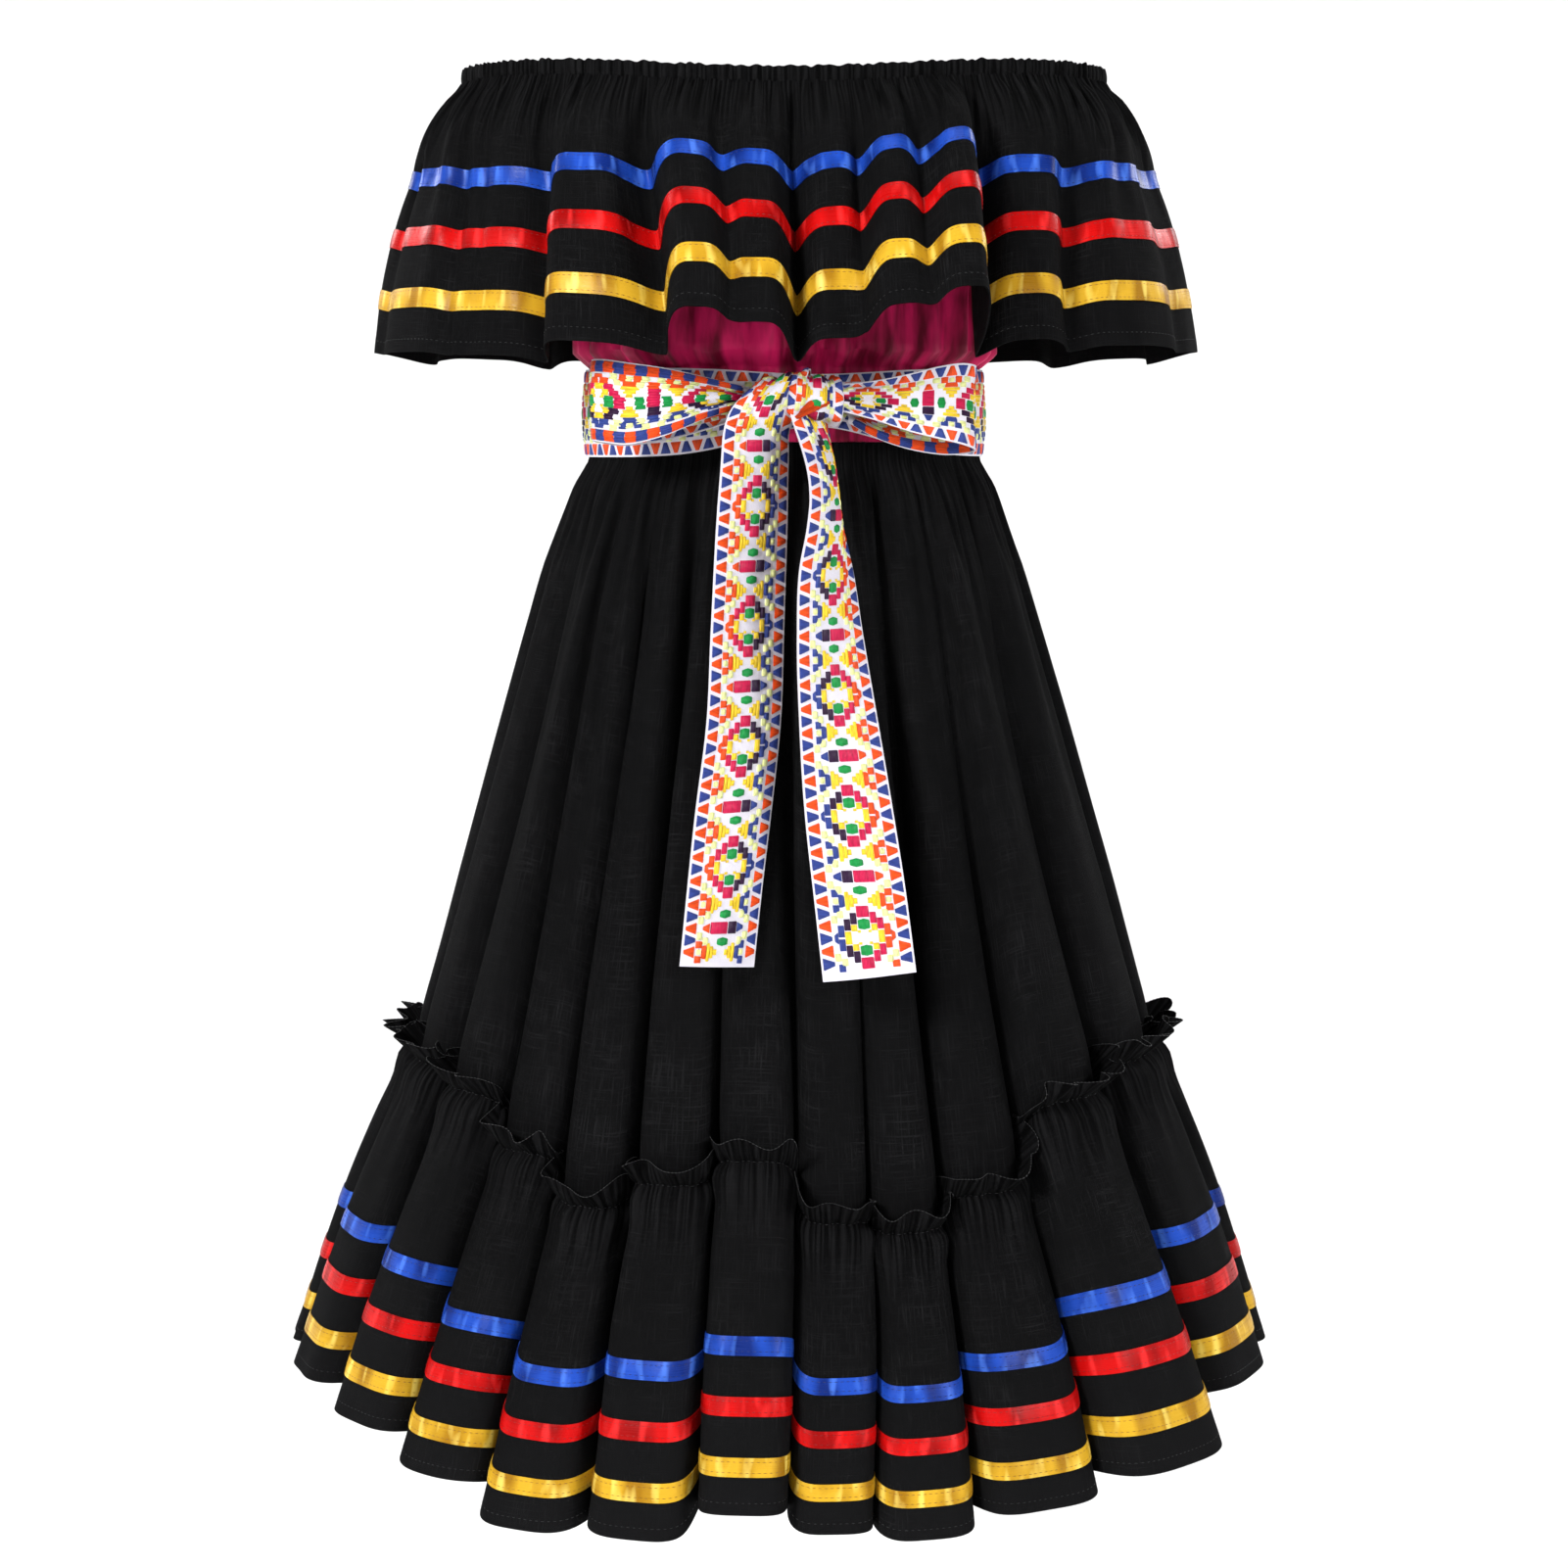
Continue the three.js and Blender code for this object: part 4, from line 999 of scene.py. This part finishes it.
def ribbons_on(prefix, panels, distance, ribbons, satins, tree, threads):
    """Satin ribbons round a flounce with a row of stitches along each edge."""
    pieces = []
    edge, rise = RIBBON_WIDTH / 2, THREAD_RISE["ribbon"]
    for color, middle in ribbons.items():
        rows = np.flatnonzero(np.abs(distance - middle) <= edge + 0.01)
        grid, normals = joined(panels, rows)
        place = (distance[rows] - middle) / edge
        crown = RIBBON["outer"] + RIBBON["crown"] * (1 - place**4)
        name, slot = f"{prefix}_satin_{color}", f"{color}_satin"
        faces, finish = (RIBBON["inner"], crown), satins[color]
        piece = wall(name, grid, *faces, finish, slot, closed=True, normals=normals)
        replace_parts(piece, f"{prefix}_ribbon_{color}")
        lines = []
        for side in (-1, 1):
            upper, lower = (1, 0) if side < 0 else (-2, -1)
            line = lerp(grid[lower], grid[upper], 0.45) + normals[upper] * (RIBBON["outer"] + rise)
            lines.append(np.concatenate([line, line[:1]]))
        stitches = sew(f"{prefix}_{color}_stitches", tree, lines, STITCHES["ribbon"], threads[color])
        pieces += [piece, stitches]
    return pieces


def row_of_stitches(name, grid, distance, at, tree, thread):
    """One row of stitches through a panel, on its outside."""
    row = np.argmin(np.abs(distance - at))
    line = grid[row] + grid_normals(grid)[row] * (COTTON / 2 + THREAD_RISE["hem"])
    return sew(name, tree, [line], STITCHES["hem"], thread)


def cotton_panel(name, node, grid, thick, cotton, flat_width, down):
    """A panel of black cotton; flat_width and down are its weave's sizes across and down it."""
    across = np.linspace(0, flat_width, grid.shape[1])
    piece = wall(name, grid, -thick, thick, cotton, "black_cotton", across=across, down=down)
    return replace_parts(piece, node)


def collar(cotton, satins, tree, threads):
    """The collar flounce: both halves with their hem stitches, and the ribbons round it."""
    distance = rows_between(ribbon_stops(0, COLLAR_LENGTH, COLLAR_RIBBONS), ROW_STEP["collar"])
    thick, hem = turned(distance, COLLAR_LENGTH), COLLAR_LENGTH - TURNED_HEM
    front = flatten_sides(collar_grid(COLLAR_FRONT, distance), -1)
    back = flatten_sides(collar_grid(COLLAR_BACK, distance), 1)
    trims = ribbons_on("collar", [front, back], distance, COLLAR_RIBBONS, satins, tree, threads)
    pieces = {}
    for end, grid in (("front", front), ("back", back)):
        name, node = f"collar_{end}", f"collar_flounce_{end}"
        flat_width = grid.shape[1] * WEAVE_STEP["collar"]
        piece = cotton_panel(name, node, grid, thick, cotton, flat_width, distance)
        sewn = row_of_stitches(f"{name}_hem_stitches", grid, distance, hem, tree, threads["black"])
        pieces[end] = (piece, sewn)
    return pieces, trims


def skirt_folds(flutes):
    """Fold lines of a half: each flute's crest, and the trough between it and the next."""
    crests = {name: flutes[name] for name in ("seam_at", "hem_at", "seam", "hem")}
    crests["seam_out"] = np.zeros_like(flutes["push"])
    crests["hem_out"] = flutes["push"]
    middle = {name: (values[:-1] + values[1:]) / 2 for name, values in crests.items()}
    depth = flutes["depth"][:-1] * DEEPER
    middle["hem"] += TROUGH_LIFT
    middle["seam_out"] = -SEAM_FOLD * depth / HEM_FOLD
    middle["hem_out"] -= depth
    lines = {}
    for name, values in crests.items():
        lines[name] = np.empty(2 * len(values) - 1)
        lines[name][0::2] = values
        lines[name][1::2] = middle[name]
    return lines


def skirt_grid(folds, rows):
    """One half of the skirt, by shares of the way from the waist to the flounce."""
    columns = fold_columns(folds["seam_at"], COLUMN_PITCH["skirt"])
    down = rows[:, None]
    width, depth, fold = (
        np.interp(down, SKIRT_ROWS["down"], SKIRT_ROWS[name]) for name in ("width", "depth", "fold")
    )
    degrees = slide(columns, folds["seam_at"], SWELL["seam"] * fold)
    level = lerp(WAIST_LEVEL - SEAM_GAP / 2, fall(columns, folds["seam"]), down)
    out = fall(columns, folds["seam_out"]) * fold - (1 + SEAM_GAP) * down
    grid = round_points(width, depth, degrees, out, level)

    angle = slide(columns, folds["seam_at"], 0)
    reached = down / gathers_reach("skirt", angle)
    waist_height = lerp(1.1, 2.3, smoothstep(down, 0.03, 0.1))
    relief = [
        gathers(angle, count=86, seed=22, height=waist_height, fades=(reached, 0.3, 1)),
        gathers(angle, count=39, seed=23, height=3.6, grows=(down, 0.05, 0.25), fades=(down, 0.3, 1)),
        gathers(angle, count=23, seed=24, height=2.4, grows=(down, 0.2, 0.5), fades=(down, 0.7, 1)),
        -1.7 * smoothstep(down, 0.93, 1),
    ]
    return moved_out(grid, sum(relief))


def tier_grid(folds, distance):
    """One half of the hem flounce, by distances from its seam; the heading's are below zero."""
    columns = fold_columns(folds["seam_at"], COLUMN_PITCH["tier"])
    down = distance[:, None]
    share = np.maximum(down, 0) / TIER_LENGTH
    heading = np.maximum(-down, 0) / HEADING["cloth"]
    swell = lerp(SWELL["seam"], SWELL["hem"], share) + (SWELL["heading"] - SWELL["seam"]) * heading
    degrees = lerp(slide(columns, folds["seam_at"], swell), slide(columns, folds["hem_at"], swell), share)
    out = lerp(fall(columns, folds["seam_out"]), fall(columns, folds["hem_out"]), share)
    out = out + TIER_BELLY * np.sin(np.pi * share) + HEADING["flare"] * heading
    width, depth = (lerp(SEAM[name], HEM[name], share) for name in ("width", "depth"))
    level = lerp(fall(columns, folds["seam"]), fall(columns, folds["hem"]), share) + HEADING["rise"] * heading

    angle = slide(columns, folds["seam_at"], 0)
    corner = smoothstep(columns[2], 0.15, 0.55) * (1 - smoothstep(columns[2], 0.65, 1))
    ruffle = gathers(angle, count=83, seed=32, height=3.2) + HEADING["corner_rise"] * corner
    curl = gathers(angle, count=89, seed=33, height=6) + HEADING["corner_out"] * corner
    level = level + ruffle * heading**2
    out = out + gathers(angle, count=118, seed=31, height=3.2) * heading**1.2 + curl * heading**1.5
    grid = round_points(width, depth, degrees, out, level)

    reached = down / gathers_reach("tier", angle)
    relief = [
        gathers(angle, count=118, seed=31, height=2, grows=(down, -1, 8), fades=(reached, 0.1, 1)),
        gathers(angle, count=236, seed=37, height=1.35) * hump(down, 0, 26) * (1 - heading),
        gathers(angle, count=118, seed=31, height=0.5) * hump(down, 0, 3) - 1.5 * hump(down, 0, 2.6),
        1.8 * hump(down, 11, 8),
        gathers(angle, count=47, seed=35, height=1.7, grows=(down, 10, 50), fades=(down, 70, 170)),
        gathers(angle, count=71, seed=36, height=1, grows=(down, 150, TIER_LENGTH)),
        crease_height(TIER_CREASES, angle, down, SEAM["width"]),
    ]
    return moved_out(grid, sum(relief))


def skirt_and_flounce(cotton, hem_cotton, satins, tree, threads):
    """Both halves of the skirt and of its hem flounce with their stitches, and the ribbons."""
    stops = ribbon_stops(-HEADING["cloth"], TIER_LENGTH, TIER_RIBBONS, NEAR_SEAM)
    distance = rows_between(stops, ROW_STEP["tier"])
    close_rows = np.linspace(0, GATHERED_SHARE, 11, endpoint=False)
    rows = np.concatenate([close_rows, np.linspace(GATHERED_SHARE, 1, 34)])
    thick = turned(distance, TIER_LENGTH)
    tiers, pieces = [], {}
    for end, flutes, half in (("front", SKIRT_FRONT, -1), ("back", SKIRT_BACK, 1)):
        folds = skirt_folds(flutes)
        skirt = flatten_sides(skirt_grid(folds, rows), half)
        tier = flatten_sides(tier_grid(folds, distance), half)
        tiers.append(tier)
        count, down = skirt.shape[1], rows * SKIRT_LENGTH
        name, node = f"skirt_{end}_cloth", f"skirt_{end}"
        cloth = cotton_panel(name, node, skirt, COTTON / 2, cotton, count * WEAVE_STEP["skirt"], down)
        name, node = f"flounce_{end}", f"hem_flounce_{end}"
        flounce = cotton_panel(name, node, tier, thick, hem_cotton, count * WEAVE_STEP["tier"], distance)
        sewn = [
            row_of_stitches(f"{name}_{row}_stitches", tier, distance, at, tree, threads["black"])
            for row, at in (("hem", TIER_LENGTH - TURNED_HEM), ("seam", 0))
        ]
        name = f"{name}_heading_edge"
        edge = sew(name, tree, [tier[0]], STITCHES["heading"], threads["edge"])
        pieces[end] = (cloth, flounce, *sewn, edge)
    trims = ribbons_on("hem", tiers, distance, TIER_RIBBONS, satins, tree, threads)
    return pieces, trims


def bodice(end, half, cotton):
    """One half of the bodice, from the casing down inside the collar to the waist."""
    rows, columns = GRIDS["bodice"]
    place = np.linspace(0, BODICE_ROWS["down"][-1], rows)
    level, width, depth, edge, dip, fold = (
        np.interp(place, BODICE_ROWS["down"], BODICE_ROWS[name])[:, None]
        for name in ("level", "width", "depth", "edge", "dip", "fold")
    )
    across = np.linspace(-1, 1, columns)
    degrees = edge * across + (0 if half < 0 else 180)
    grid = round_points(width, depth, degrees, 0, level + dip * neck_level(degrees))
    seed = 41 if half < 0 else 44
    folds = gathers(degrees, count=29, seed=seed, height=1.9) * fold
    tucks = gathers(degrees, count=72, seed=seed + 1, height=0.7, grows=(place[:, None], 4.2, 5.6))
    grid = moved_out(grid, (folds + tucks) * (1 - np.abs(across) ** 10))
    seamed = np.flatnonzero(edge[:, 0] > 89.9)
    grid[seamed] = flatten_sides(grid[seamed], half)
    piece = wall(f"bodice_{end}_cloth", grid, -COTTON / 2, COTTON / 2, cotton, "magenta_cotton")
    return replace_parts(piece, f"bodice_{end}")


# ---- Sash ----
def even_strip(grid, step):
    """A sash strip's points at even distances along its middle, and its length."""
    middle = grid[:, grid.shape[1] // 2]
    run = np.concatenate([[0], np.cumsum(np.linalg.norm(np.diff(middle, axis=0), axis=1))])
    places = np.linspace(0, run[-1], round(run[-1] / step) + 1)
    flat = grid.reshape(len(grid), -1)
    even = np.stack([np.interp(places, run, column) for column in flat.T], 1)
    return even.reshape(len(places), *grid.shape[1:]), run[-1]


def on_strip(strip, length, along, across):
    """Points and normals of a strip at distances along it and across it."""
    grid, normals = strip
    row = np.clip(along / length, 0, 1) * (len(grid) - 1)
    column = np.clip(across / SASH["width"] + 0.5, 0, 1) * (grid.shape[1] - 1)
    r, c = np.minimum(row.astype(int), len(grid) - 2), np.minimum(column.astype(int), grid.shape[1] - 2)
    fr, fc = (row - r)[..., None], (column - c)[..., None]

    def blend(values):
        upper = lerp(values[r, c], values[r, c + 1], fc)
        return lerp(upper, lerp(values[r + 1, c], values[r + 1, c + 1], fc), fr)

    return blend(grid), blend(normals)


def chart_blocks():
    """The blocks of one repeat in millimetres, and the triangles of its two borders."""
    blocks = [Block(*row) for row in SINGLE_BLOCKS]
    for block in (Block(*row) for row in MIRRORED_BLOCKS):
        blocks += [block, block._replace(low=-block.high, high=-block.low)]
    scaled = []
    for block in blocks:
        sides = {"left": block.left * SASH_COLUMN, "right": block.right * SASH_COLUMN}
        scaled.append(block._replace(low=block.low * SASH_ROW, high=block.high * SASH_ROW, **sides))
    inner, outer, narrow = BORDER["from"], BORDER["to"], BORDER["narrow"]
    reach = BORDER["height"] * SASH_ROW / 2
    for pair in range(10):
        middle = pair * 2 * SASH_ROW
        thread, ends = ("blue", (narrow, 1)) if pair % 2 == 0 else ("orange", (1, narrow))
        level = (middle - reach, middle + reach)
        scaled.append(Block(thread, inner, outer, *level, *ends, 0, False))
        scaled.append(Block(thread, -outer, -inner, *level, *ends[::-1], 0, False))
    return scaled


def split_in_floats(block, random):
    """The wrong side of a block: loose threads of uneven length."""
    strands = []
    count = max(2, round((block.right - block.left) / FLOAT_WIDTH))
    edges = np.linspace(block.left, block.right, count + 1)
    for left, right in zip(edges, edges[1:]):
        shift, grow = random.uniform(-0.6, 0.6), random.uniform(-0.1, 0.7)
        low, high = block.low - grow + shift, block.high + grow + shift
        strands.append(Block(block.thread, left - 0.04, right + 0.04, low, high, 0.95, 0.95, 0.05))
    return strands


def laid_block(block, base, across, along):
    """Places across and along the sash of one block's points."""
    s, t = np.meshgrid(across, along, indexing="ij")
    share = lerp(block.start, block.end, s) + block.bulge * 4 * s * (1 - s)
    middle = base + (block.low + block.high) / 2
    return lerp(block.left, block.right, s), middle + (t - 0.5) * (block.high - block.low) * share


def facing_of(corners):
    """The direction that a patch of points or a face looks in, from three of its corners."""
    first, second, third = corners
    return np.cross(second - first, third - first)


def embroider(name, strip, length, flosses, phase, side=1, turned_round=False, loose=False, seed=5):
    """Raised blocks of thread on one side of a strip, as the chart says; loose ones are in floats."""
    random = np.random.default_rng(seed)
    along, rise = np.array([0, 0.1, 0.5, 0.9, 1]), np.array([-0.2, 0.75, 1, 0.75, -0.2])
    across, rise_across = (along[::2], np.array([0.45, 1, 0.45])) if loose else (along, rise)
    height = SASH["wall"] / 2 + FLOSS_RELIEF * np.minimum(rise_across[:, None], rise[None])
    names = list(flosses)
    points, uvs, finish_of = [], [], []
    for repeat in range(-1, math.ceil(length / SASH_REPEAT) + 1):
        base = repeat * SASH_REPEAT + phase
        for block in chart_blocks():
            for part in split_in_floats(block, random) if loose else [block]:
                if base + part.low < SASH_MARGIN or base + part.high > length - SASH_MARGIN:
                    continue
                u, v = laid_block(part, base, across, along)
                if turned_round:
                    u, v = -u, length - v
                place, normal = on_strip(strip, length, v, u * side)
                points.append(place + normal * (side * height)[..., None])
                uvs.append(np.stack([u, v] if part.upright else [v, u], -1).reshape(-1, 2))
                finish_of.append(names.index(part.thread))
    cells = grid_faces(len(across), len(along))
    faces = (cells[None] + (np.arange(len(points)) * height.size)[:, None, None]).reshape(-1, 4)
    vertices = np.concatenate([patch.reshape(-1, 3) for patch in points])
    outward = [side * facing_of((patch[0, 0], patch[-1, 0], patch[0, -1])) for patch in points]
    facing = facing_of(vertices[faces[:, :3]].swapaxes(0, 1))
    if (np.sum(facing * np.repeat(outward, len(cells), axis=0), axis=1) < 0).mean() > 0.5:
        faces = faces[:, ::-1]
    finishes = [flosses[thread] for thread in names]
    face_finish = np.repeat(finish_of, len(cells))
    return new_piece(name, vertices, faces, np.concatenate(uvs)[faces], finishes, face_finish)


def sash_strip(name, grid, ground, node, step=SASH_STEP):
    """A stretch of the woven band: its wall, its points with their normals, and its length."""
    grid, length = even_strip(grid, step)
    normals = grid_normals(grid)
    half = SASH["wall"] / 2
    across = np.linspace(0, SASH["width"], grid.shape[1])
    down = np.linspace(0, length, len(grid))
    piece = wall(name, grid, -half, half, ground, "woven_sash", across=across, down=down, normals=normals)
    if node:
        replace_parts(piece, node)
    return piece, (grid, normals), length


def band_grid():
    """From behind the knot round the waist, leftwards, and back to the knot."""
    rows, columns = GRIDS["band"]
    degrees = np.linspace(0, -360, rows)[:, None]
    across = np.linspace(0, 1, columns)
    ring = round_points(SASH["band_width"], SASH["band_depth"], degrees, 0, 0)
    off = (ring[..., 0] - BAND_SQUEEZE["at"]) / BAND_SQUEEZE["reach"]
    near = np.where(ring[..., 1] < 0, hump(off, 0, 1), 0)
    top = SASH["top"] - BAND_SQUEEZE["top"] * near
    bottom = SASH["top"] - SASH["width"] + BAND_SQUEEZE["bottom"] * near
    level = lerp(top, bottom, across)
    out = (1.4 + gathers(degrees + 14 * across, count=19, seed=51, height=0.5)) * np.sin(np.pi * across)
    width, depth = (SASH[name] - SASH["wall"] for name in ("band_width", "band_depth"))
    return round_points(width, depth, degrees, out, level)


def strip_grid(rows, pleats):
    """A strip by its middle line, its turn, width, lean and bulge; pleated where it is narrow."""
    middle = np.stack([rows["x"], rows["y"], rows["level"]], 1)
    run = np.append(0, np.cumsum(np.linalg.norm(np.diff(middle, axis=0), axis=1)))
    at = np.linspace(0, run[-1], max(30, round(run[-1] / SASH_STEP)))
    x, y, level, turn, width, lean, cup = (through(at, run, rows[name])[:, None] for name in STRIP.split())
    part = np.linspace(-0.5, 0.5, SASH_COLUMNS)
    bulge = cup * (1 - 4 * part**2) + 0.6 * np.sin(at[:, None] / 37 + 5 * part) * smoothstep(width, 30, 50)
    angle = np.radians(turn)
    plan_x = x + np.cos(angle) * part * width + np.sin(angle) * bulge
    plan_y = y + np.sin(angle) * part * width - np.cos(angle) * bulge
    grid = np.stack(np.broadcast_arrays(plan_x, plan_y, level + lean * part), -1)
    narrow = 1 - smoothstep(width, 24, 47)
    return moved_out(grid, pleats * narrow * np.sin(2 * np.pi * 2.6 * part + 0.6))


def loop_grid(rows, reverse):
    """A bow loop by its way in plan and its two edges, pinched in pleats where it leaves the knot."""
    station = np.arange(len(rows["x"]), dtype=float)
    at = np.linspace(0, station[-1], 160)
    x, y, top, bottom = (through(at, station, rows[name])[:, None] for name in ("x", "y", "top", "bottom"))
    across = np.linspace(0, 1, SASH_COLUMNS)
    grid = np.stack(np.broadcast_arrays(x, y, lerp(top, bottom, across)), -1)
    root = np.minimum(at, station[-1] - at)[:, None]
    pleats = 1.7 * hump(root, 0, 2.1) * np.sin(2 * np.pi * 2.5 * across)
    grid = moved_out(grid, pleats + 1.2 * np.sin(np.pi * across) * smoothstep(root, 1, 4))
    return grid[::-1] if reverse else grid


def knot_core(ground):
    """The rounded block under the wraps."""
    rows, columns = GRIDS["knot"]
    turns = np.linspace(0, 2 * np.pi, columns, endpoint=False)
    level, turn = np.meshgrid(np.linspace(-np.pi / 2, np.pi / 2, rows), turns, indexing="ij")
    unit = np.stack([np.cos(level) * np.cos(turn), np.cos(level) * np.sin(turn), np.sin(level)], -1)
    power = KNOT["squareness"]
    unit = unit / (np.abs(unit) ** power).sum(-1, keepdims=True) ** (1 / power)
    points = (unit * KNOT["half"] + KNOT["middle"]).reshape(-1, 3)
    faces = grid_faces(rows, columns, closed=True)[:, (0, 3, 2, 1)]
    piece = new_piece("knot_core", points, faces, points[faces][..., (0, 2)], ground)
    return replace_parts(piece, "sash_knot")


def sash(ground, flosses):
    """Every stretch of the sash: its strip, its pieces of woven thread and its length."""
    stretches = {}

    def weave(key, name, grid, node, sides, step=SASH_STEP):
        strip, points, length = sash_strip(name, grid, ground, node, step)
        threads = [embroider(f"{name}_{side}", points, length, flosses, **how) for side, how in sides.items()]
        stretches[key] = (strip, threads, length)

    weave("band", "sash_waist", band_grid(), "sash_band", {"threads": {"phase": 30}}, 2)
    for name, rows, phase in (("left", LOOP_LEFT, 22), ("right", LOOP_RIGHT, 7)):
        shows_back = name == "left"
        sides = {
            "threads": {"phase": phase, "loose": shows_back, "seed": 8},
            "inside": {"phase": phase, "side": -1, "loose": not shows_back, "seed": 9},
        }
        grid = loop_grid(rows, not shows_back)
        weave(f"loop_{name}", f"bow_loop_{name}", grid, f"sash_loop_{name}", sides)
    for name, rows, pleats, phase in (("left", END_LEFT, 1.5, 30), ("right", END_RIGHT, 0.8, 22)):
        place = {"phase": phase, "turned_round": name == "right"}
        sides = {"threads": place, "back": {**place, "side": -1, "loose": True}}
        weave(f"end_{name}", f"sash_end_{name}", strip_grid(rows, pleats), f"sash_tail_{name}", sides)
    knot_core(ground)
    weave("wrap", "knot_wrap", strip_grid(KNOT_WRAP, 1.4), None, {"threads": {"phase": 8}})
    tuck, _, length = sash_strip("knot_tuck", strip_grid(KNOT_TUCK, 0.4), flosses["orange"], None)
    stretches["tuck"] = (tuck, [], length)
    return stretches


# ---- Stage ----
STUDIO = {"radius": 3400, "bend": 900, "floor": -1170, "rim": 1430}
LAMPS = [
    ("key_lamp", (-1.5, -2.0, 0.8), 0.7, 80),
    ("fill_lamp", (2.0, -1.8, 0.3), 0.7, 38),
    ("back_lamp_left", (-1.9, 1.6, 0.9), 1.0, 28),
    ("back_lamp_right", (1.9, 1.6, 0.9), 1.0, 28),
    ("top_lamp", (0.0, 0.2, 2.0), 1.4, 12),
]
LAMPS_AIM = (0, 0, -0.4)
VIEW = {"lens": 68.3, "sensor": 36, "eye": (0, -1.750, -0.2099), "aim": (0, 0, -0.4132)}
SKY = 0.3
FLOOR_TONES = ((0.86, 0.86, 0.86), (0.90, 0.90, 0.90))


def aimed(eye, aim):
    """The turn of a lamp or a camera that looks from one place to another."""
    return (Vector(aim) - Vector(eye)).to_track_quat("-Z", "Y").to_euler()


def studio_floor(pale):
    """A round floor that bends up into a low rim."""
    flat, bend, floor = STUDIO["radius"] - STUDIO["bend"], STUDIO["bend"], STUDIO["floor"]
    profile = [(flat, floor)]
    for turn in np.linspace(0.1, math.pi / 2, 12):
        profile.append((flat + bend * math.sin(turn), floor + bend - bend * math.cos(turn)))
    profile.append((STUDIO["radius"], STUDIO["rim"]))
    turns = np.linspace(0, 2 * np.pi, 96, endpoint=False)
    grid = np.array([[(r * math.cos(t), r * math.sin(t), z) for t in turns] for r, z in profile])
    middle = list(range(len(turns)))
    mesh = bpy.data.meshes.new("studio_floor")
    faces = grid_faces(*grid.shape[:2], closed=True).tolist()
    mesh.from_pydata((grid.reshape(-1, 3) * MM).tolist(), [], faces + [middle])
    mesh.polygons.foreach_set("use_smooth", np.ones(len(mesh.polygons), bool))
    mesh.materials.append(pale)
    placed("studio_floor", mesh)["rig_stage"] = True


def light_studio():
    """Five soft lamps and a pale sky."""
    for name, place, size, power in LAMPS:
        light = bpy.data.lights.new(name, "AREA")
        light.shape = "DISK"
        light.size = size
        light.energy = power
        lamp = placed(name, light)
        lamp.location = place
        lamp.rotation_euler = aimed(place, LAMPS_AIM)
    world = bpy.data.worlds.new("pale_sky")
    world.use_nodes = True
    background = world.node_tree.nodes["Background"]
    background.inputs["Color"].default_value = (1, 1, 1, 1)
    background.inputs["Strength"].default_value = SKY
    bpy.context.scene.world = world
    bpy.context.scene.view_settings.view_transform = "Standard"


def camera():
    """A long lens a little above the collar, looking slightly down."""
    view = bpy.data.cameras.new("view")
    view.lens = VIEW["lens"]
    view.sensor_width = VIEW["sensor"]
    eye = placed("view", view)
    eye.location = VIEW["eye"]
    eye.rotation_euler = aimed(VIEW["eye"], VIEW["aim"])
    bpy.context.scene.camera = eye


# ---- The dress ----
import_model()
camera()
studio_floor(mottled("pale_floor", *FLOOR_TONES, 1.5, Roughness=0.8))
light_studio()

black = slub_cotton("black_slub_cotton", BLACK, SLUB, 0.001)
# The hem flounce's cotton, with painted light showing through its weave towards the hem.
hem_black = slub_cotton("black_slub_cotton_hem", BLACK, SLUB, 0.001, painted_see_through=(60, TIER_LENGTH))
pink = crinkled_cotton("magenta_crinkled_cotton", *MAGENTA)
satins = {color: satin(f"{color}_satin_ribbon", *tones) for color, tones in SATINS.items()}
threads = {color: sewing_thread(f"{color}_sewing_thread", tones[1]) for color, tones in SATINS.items()}
threads["black"] = sewing_thread("black_sewing_thread", BLACK_THREAD)
threads["edge"] = sewing_thread("black_edging_thread", EDGING_THREAD)
ground = woven_ground("sash_white_ground", SASH_WHITE)
flosses = {color: floss(f"{color}_floss", base) for color, base in THREADS.items()}
stitches = stitch_tree()

casing = neck_casing(black)
collars, collar_trims = collar(black, satins, stitches, threads)
bodices = {end: bodice(end, half, pink) for end, half in (("front", -1), ("back", 1))}
skirts, hem_trims = skirt_and_flounce(black, hem_black, satins, stitches, threads)
sash_pieces = sash(ground, flosses)

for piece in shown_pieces():
    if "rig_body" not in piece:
        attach(piece, "root")
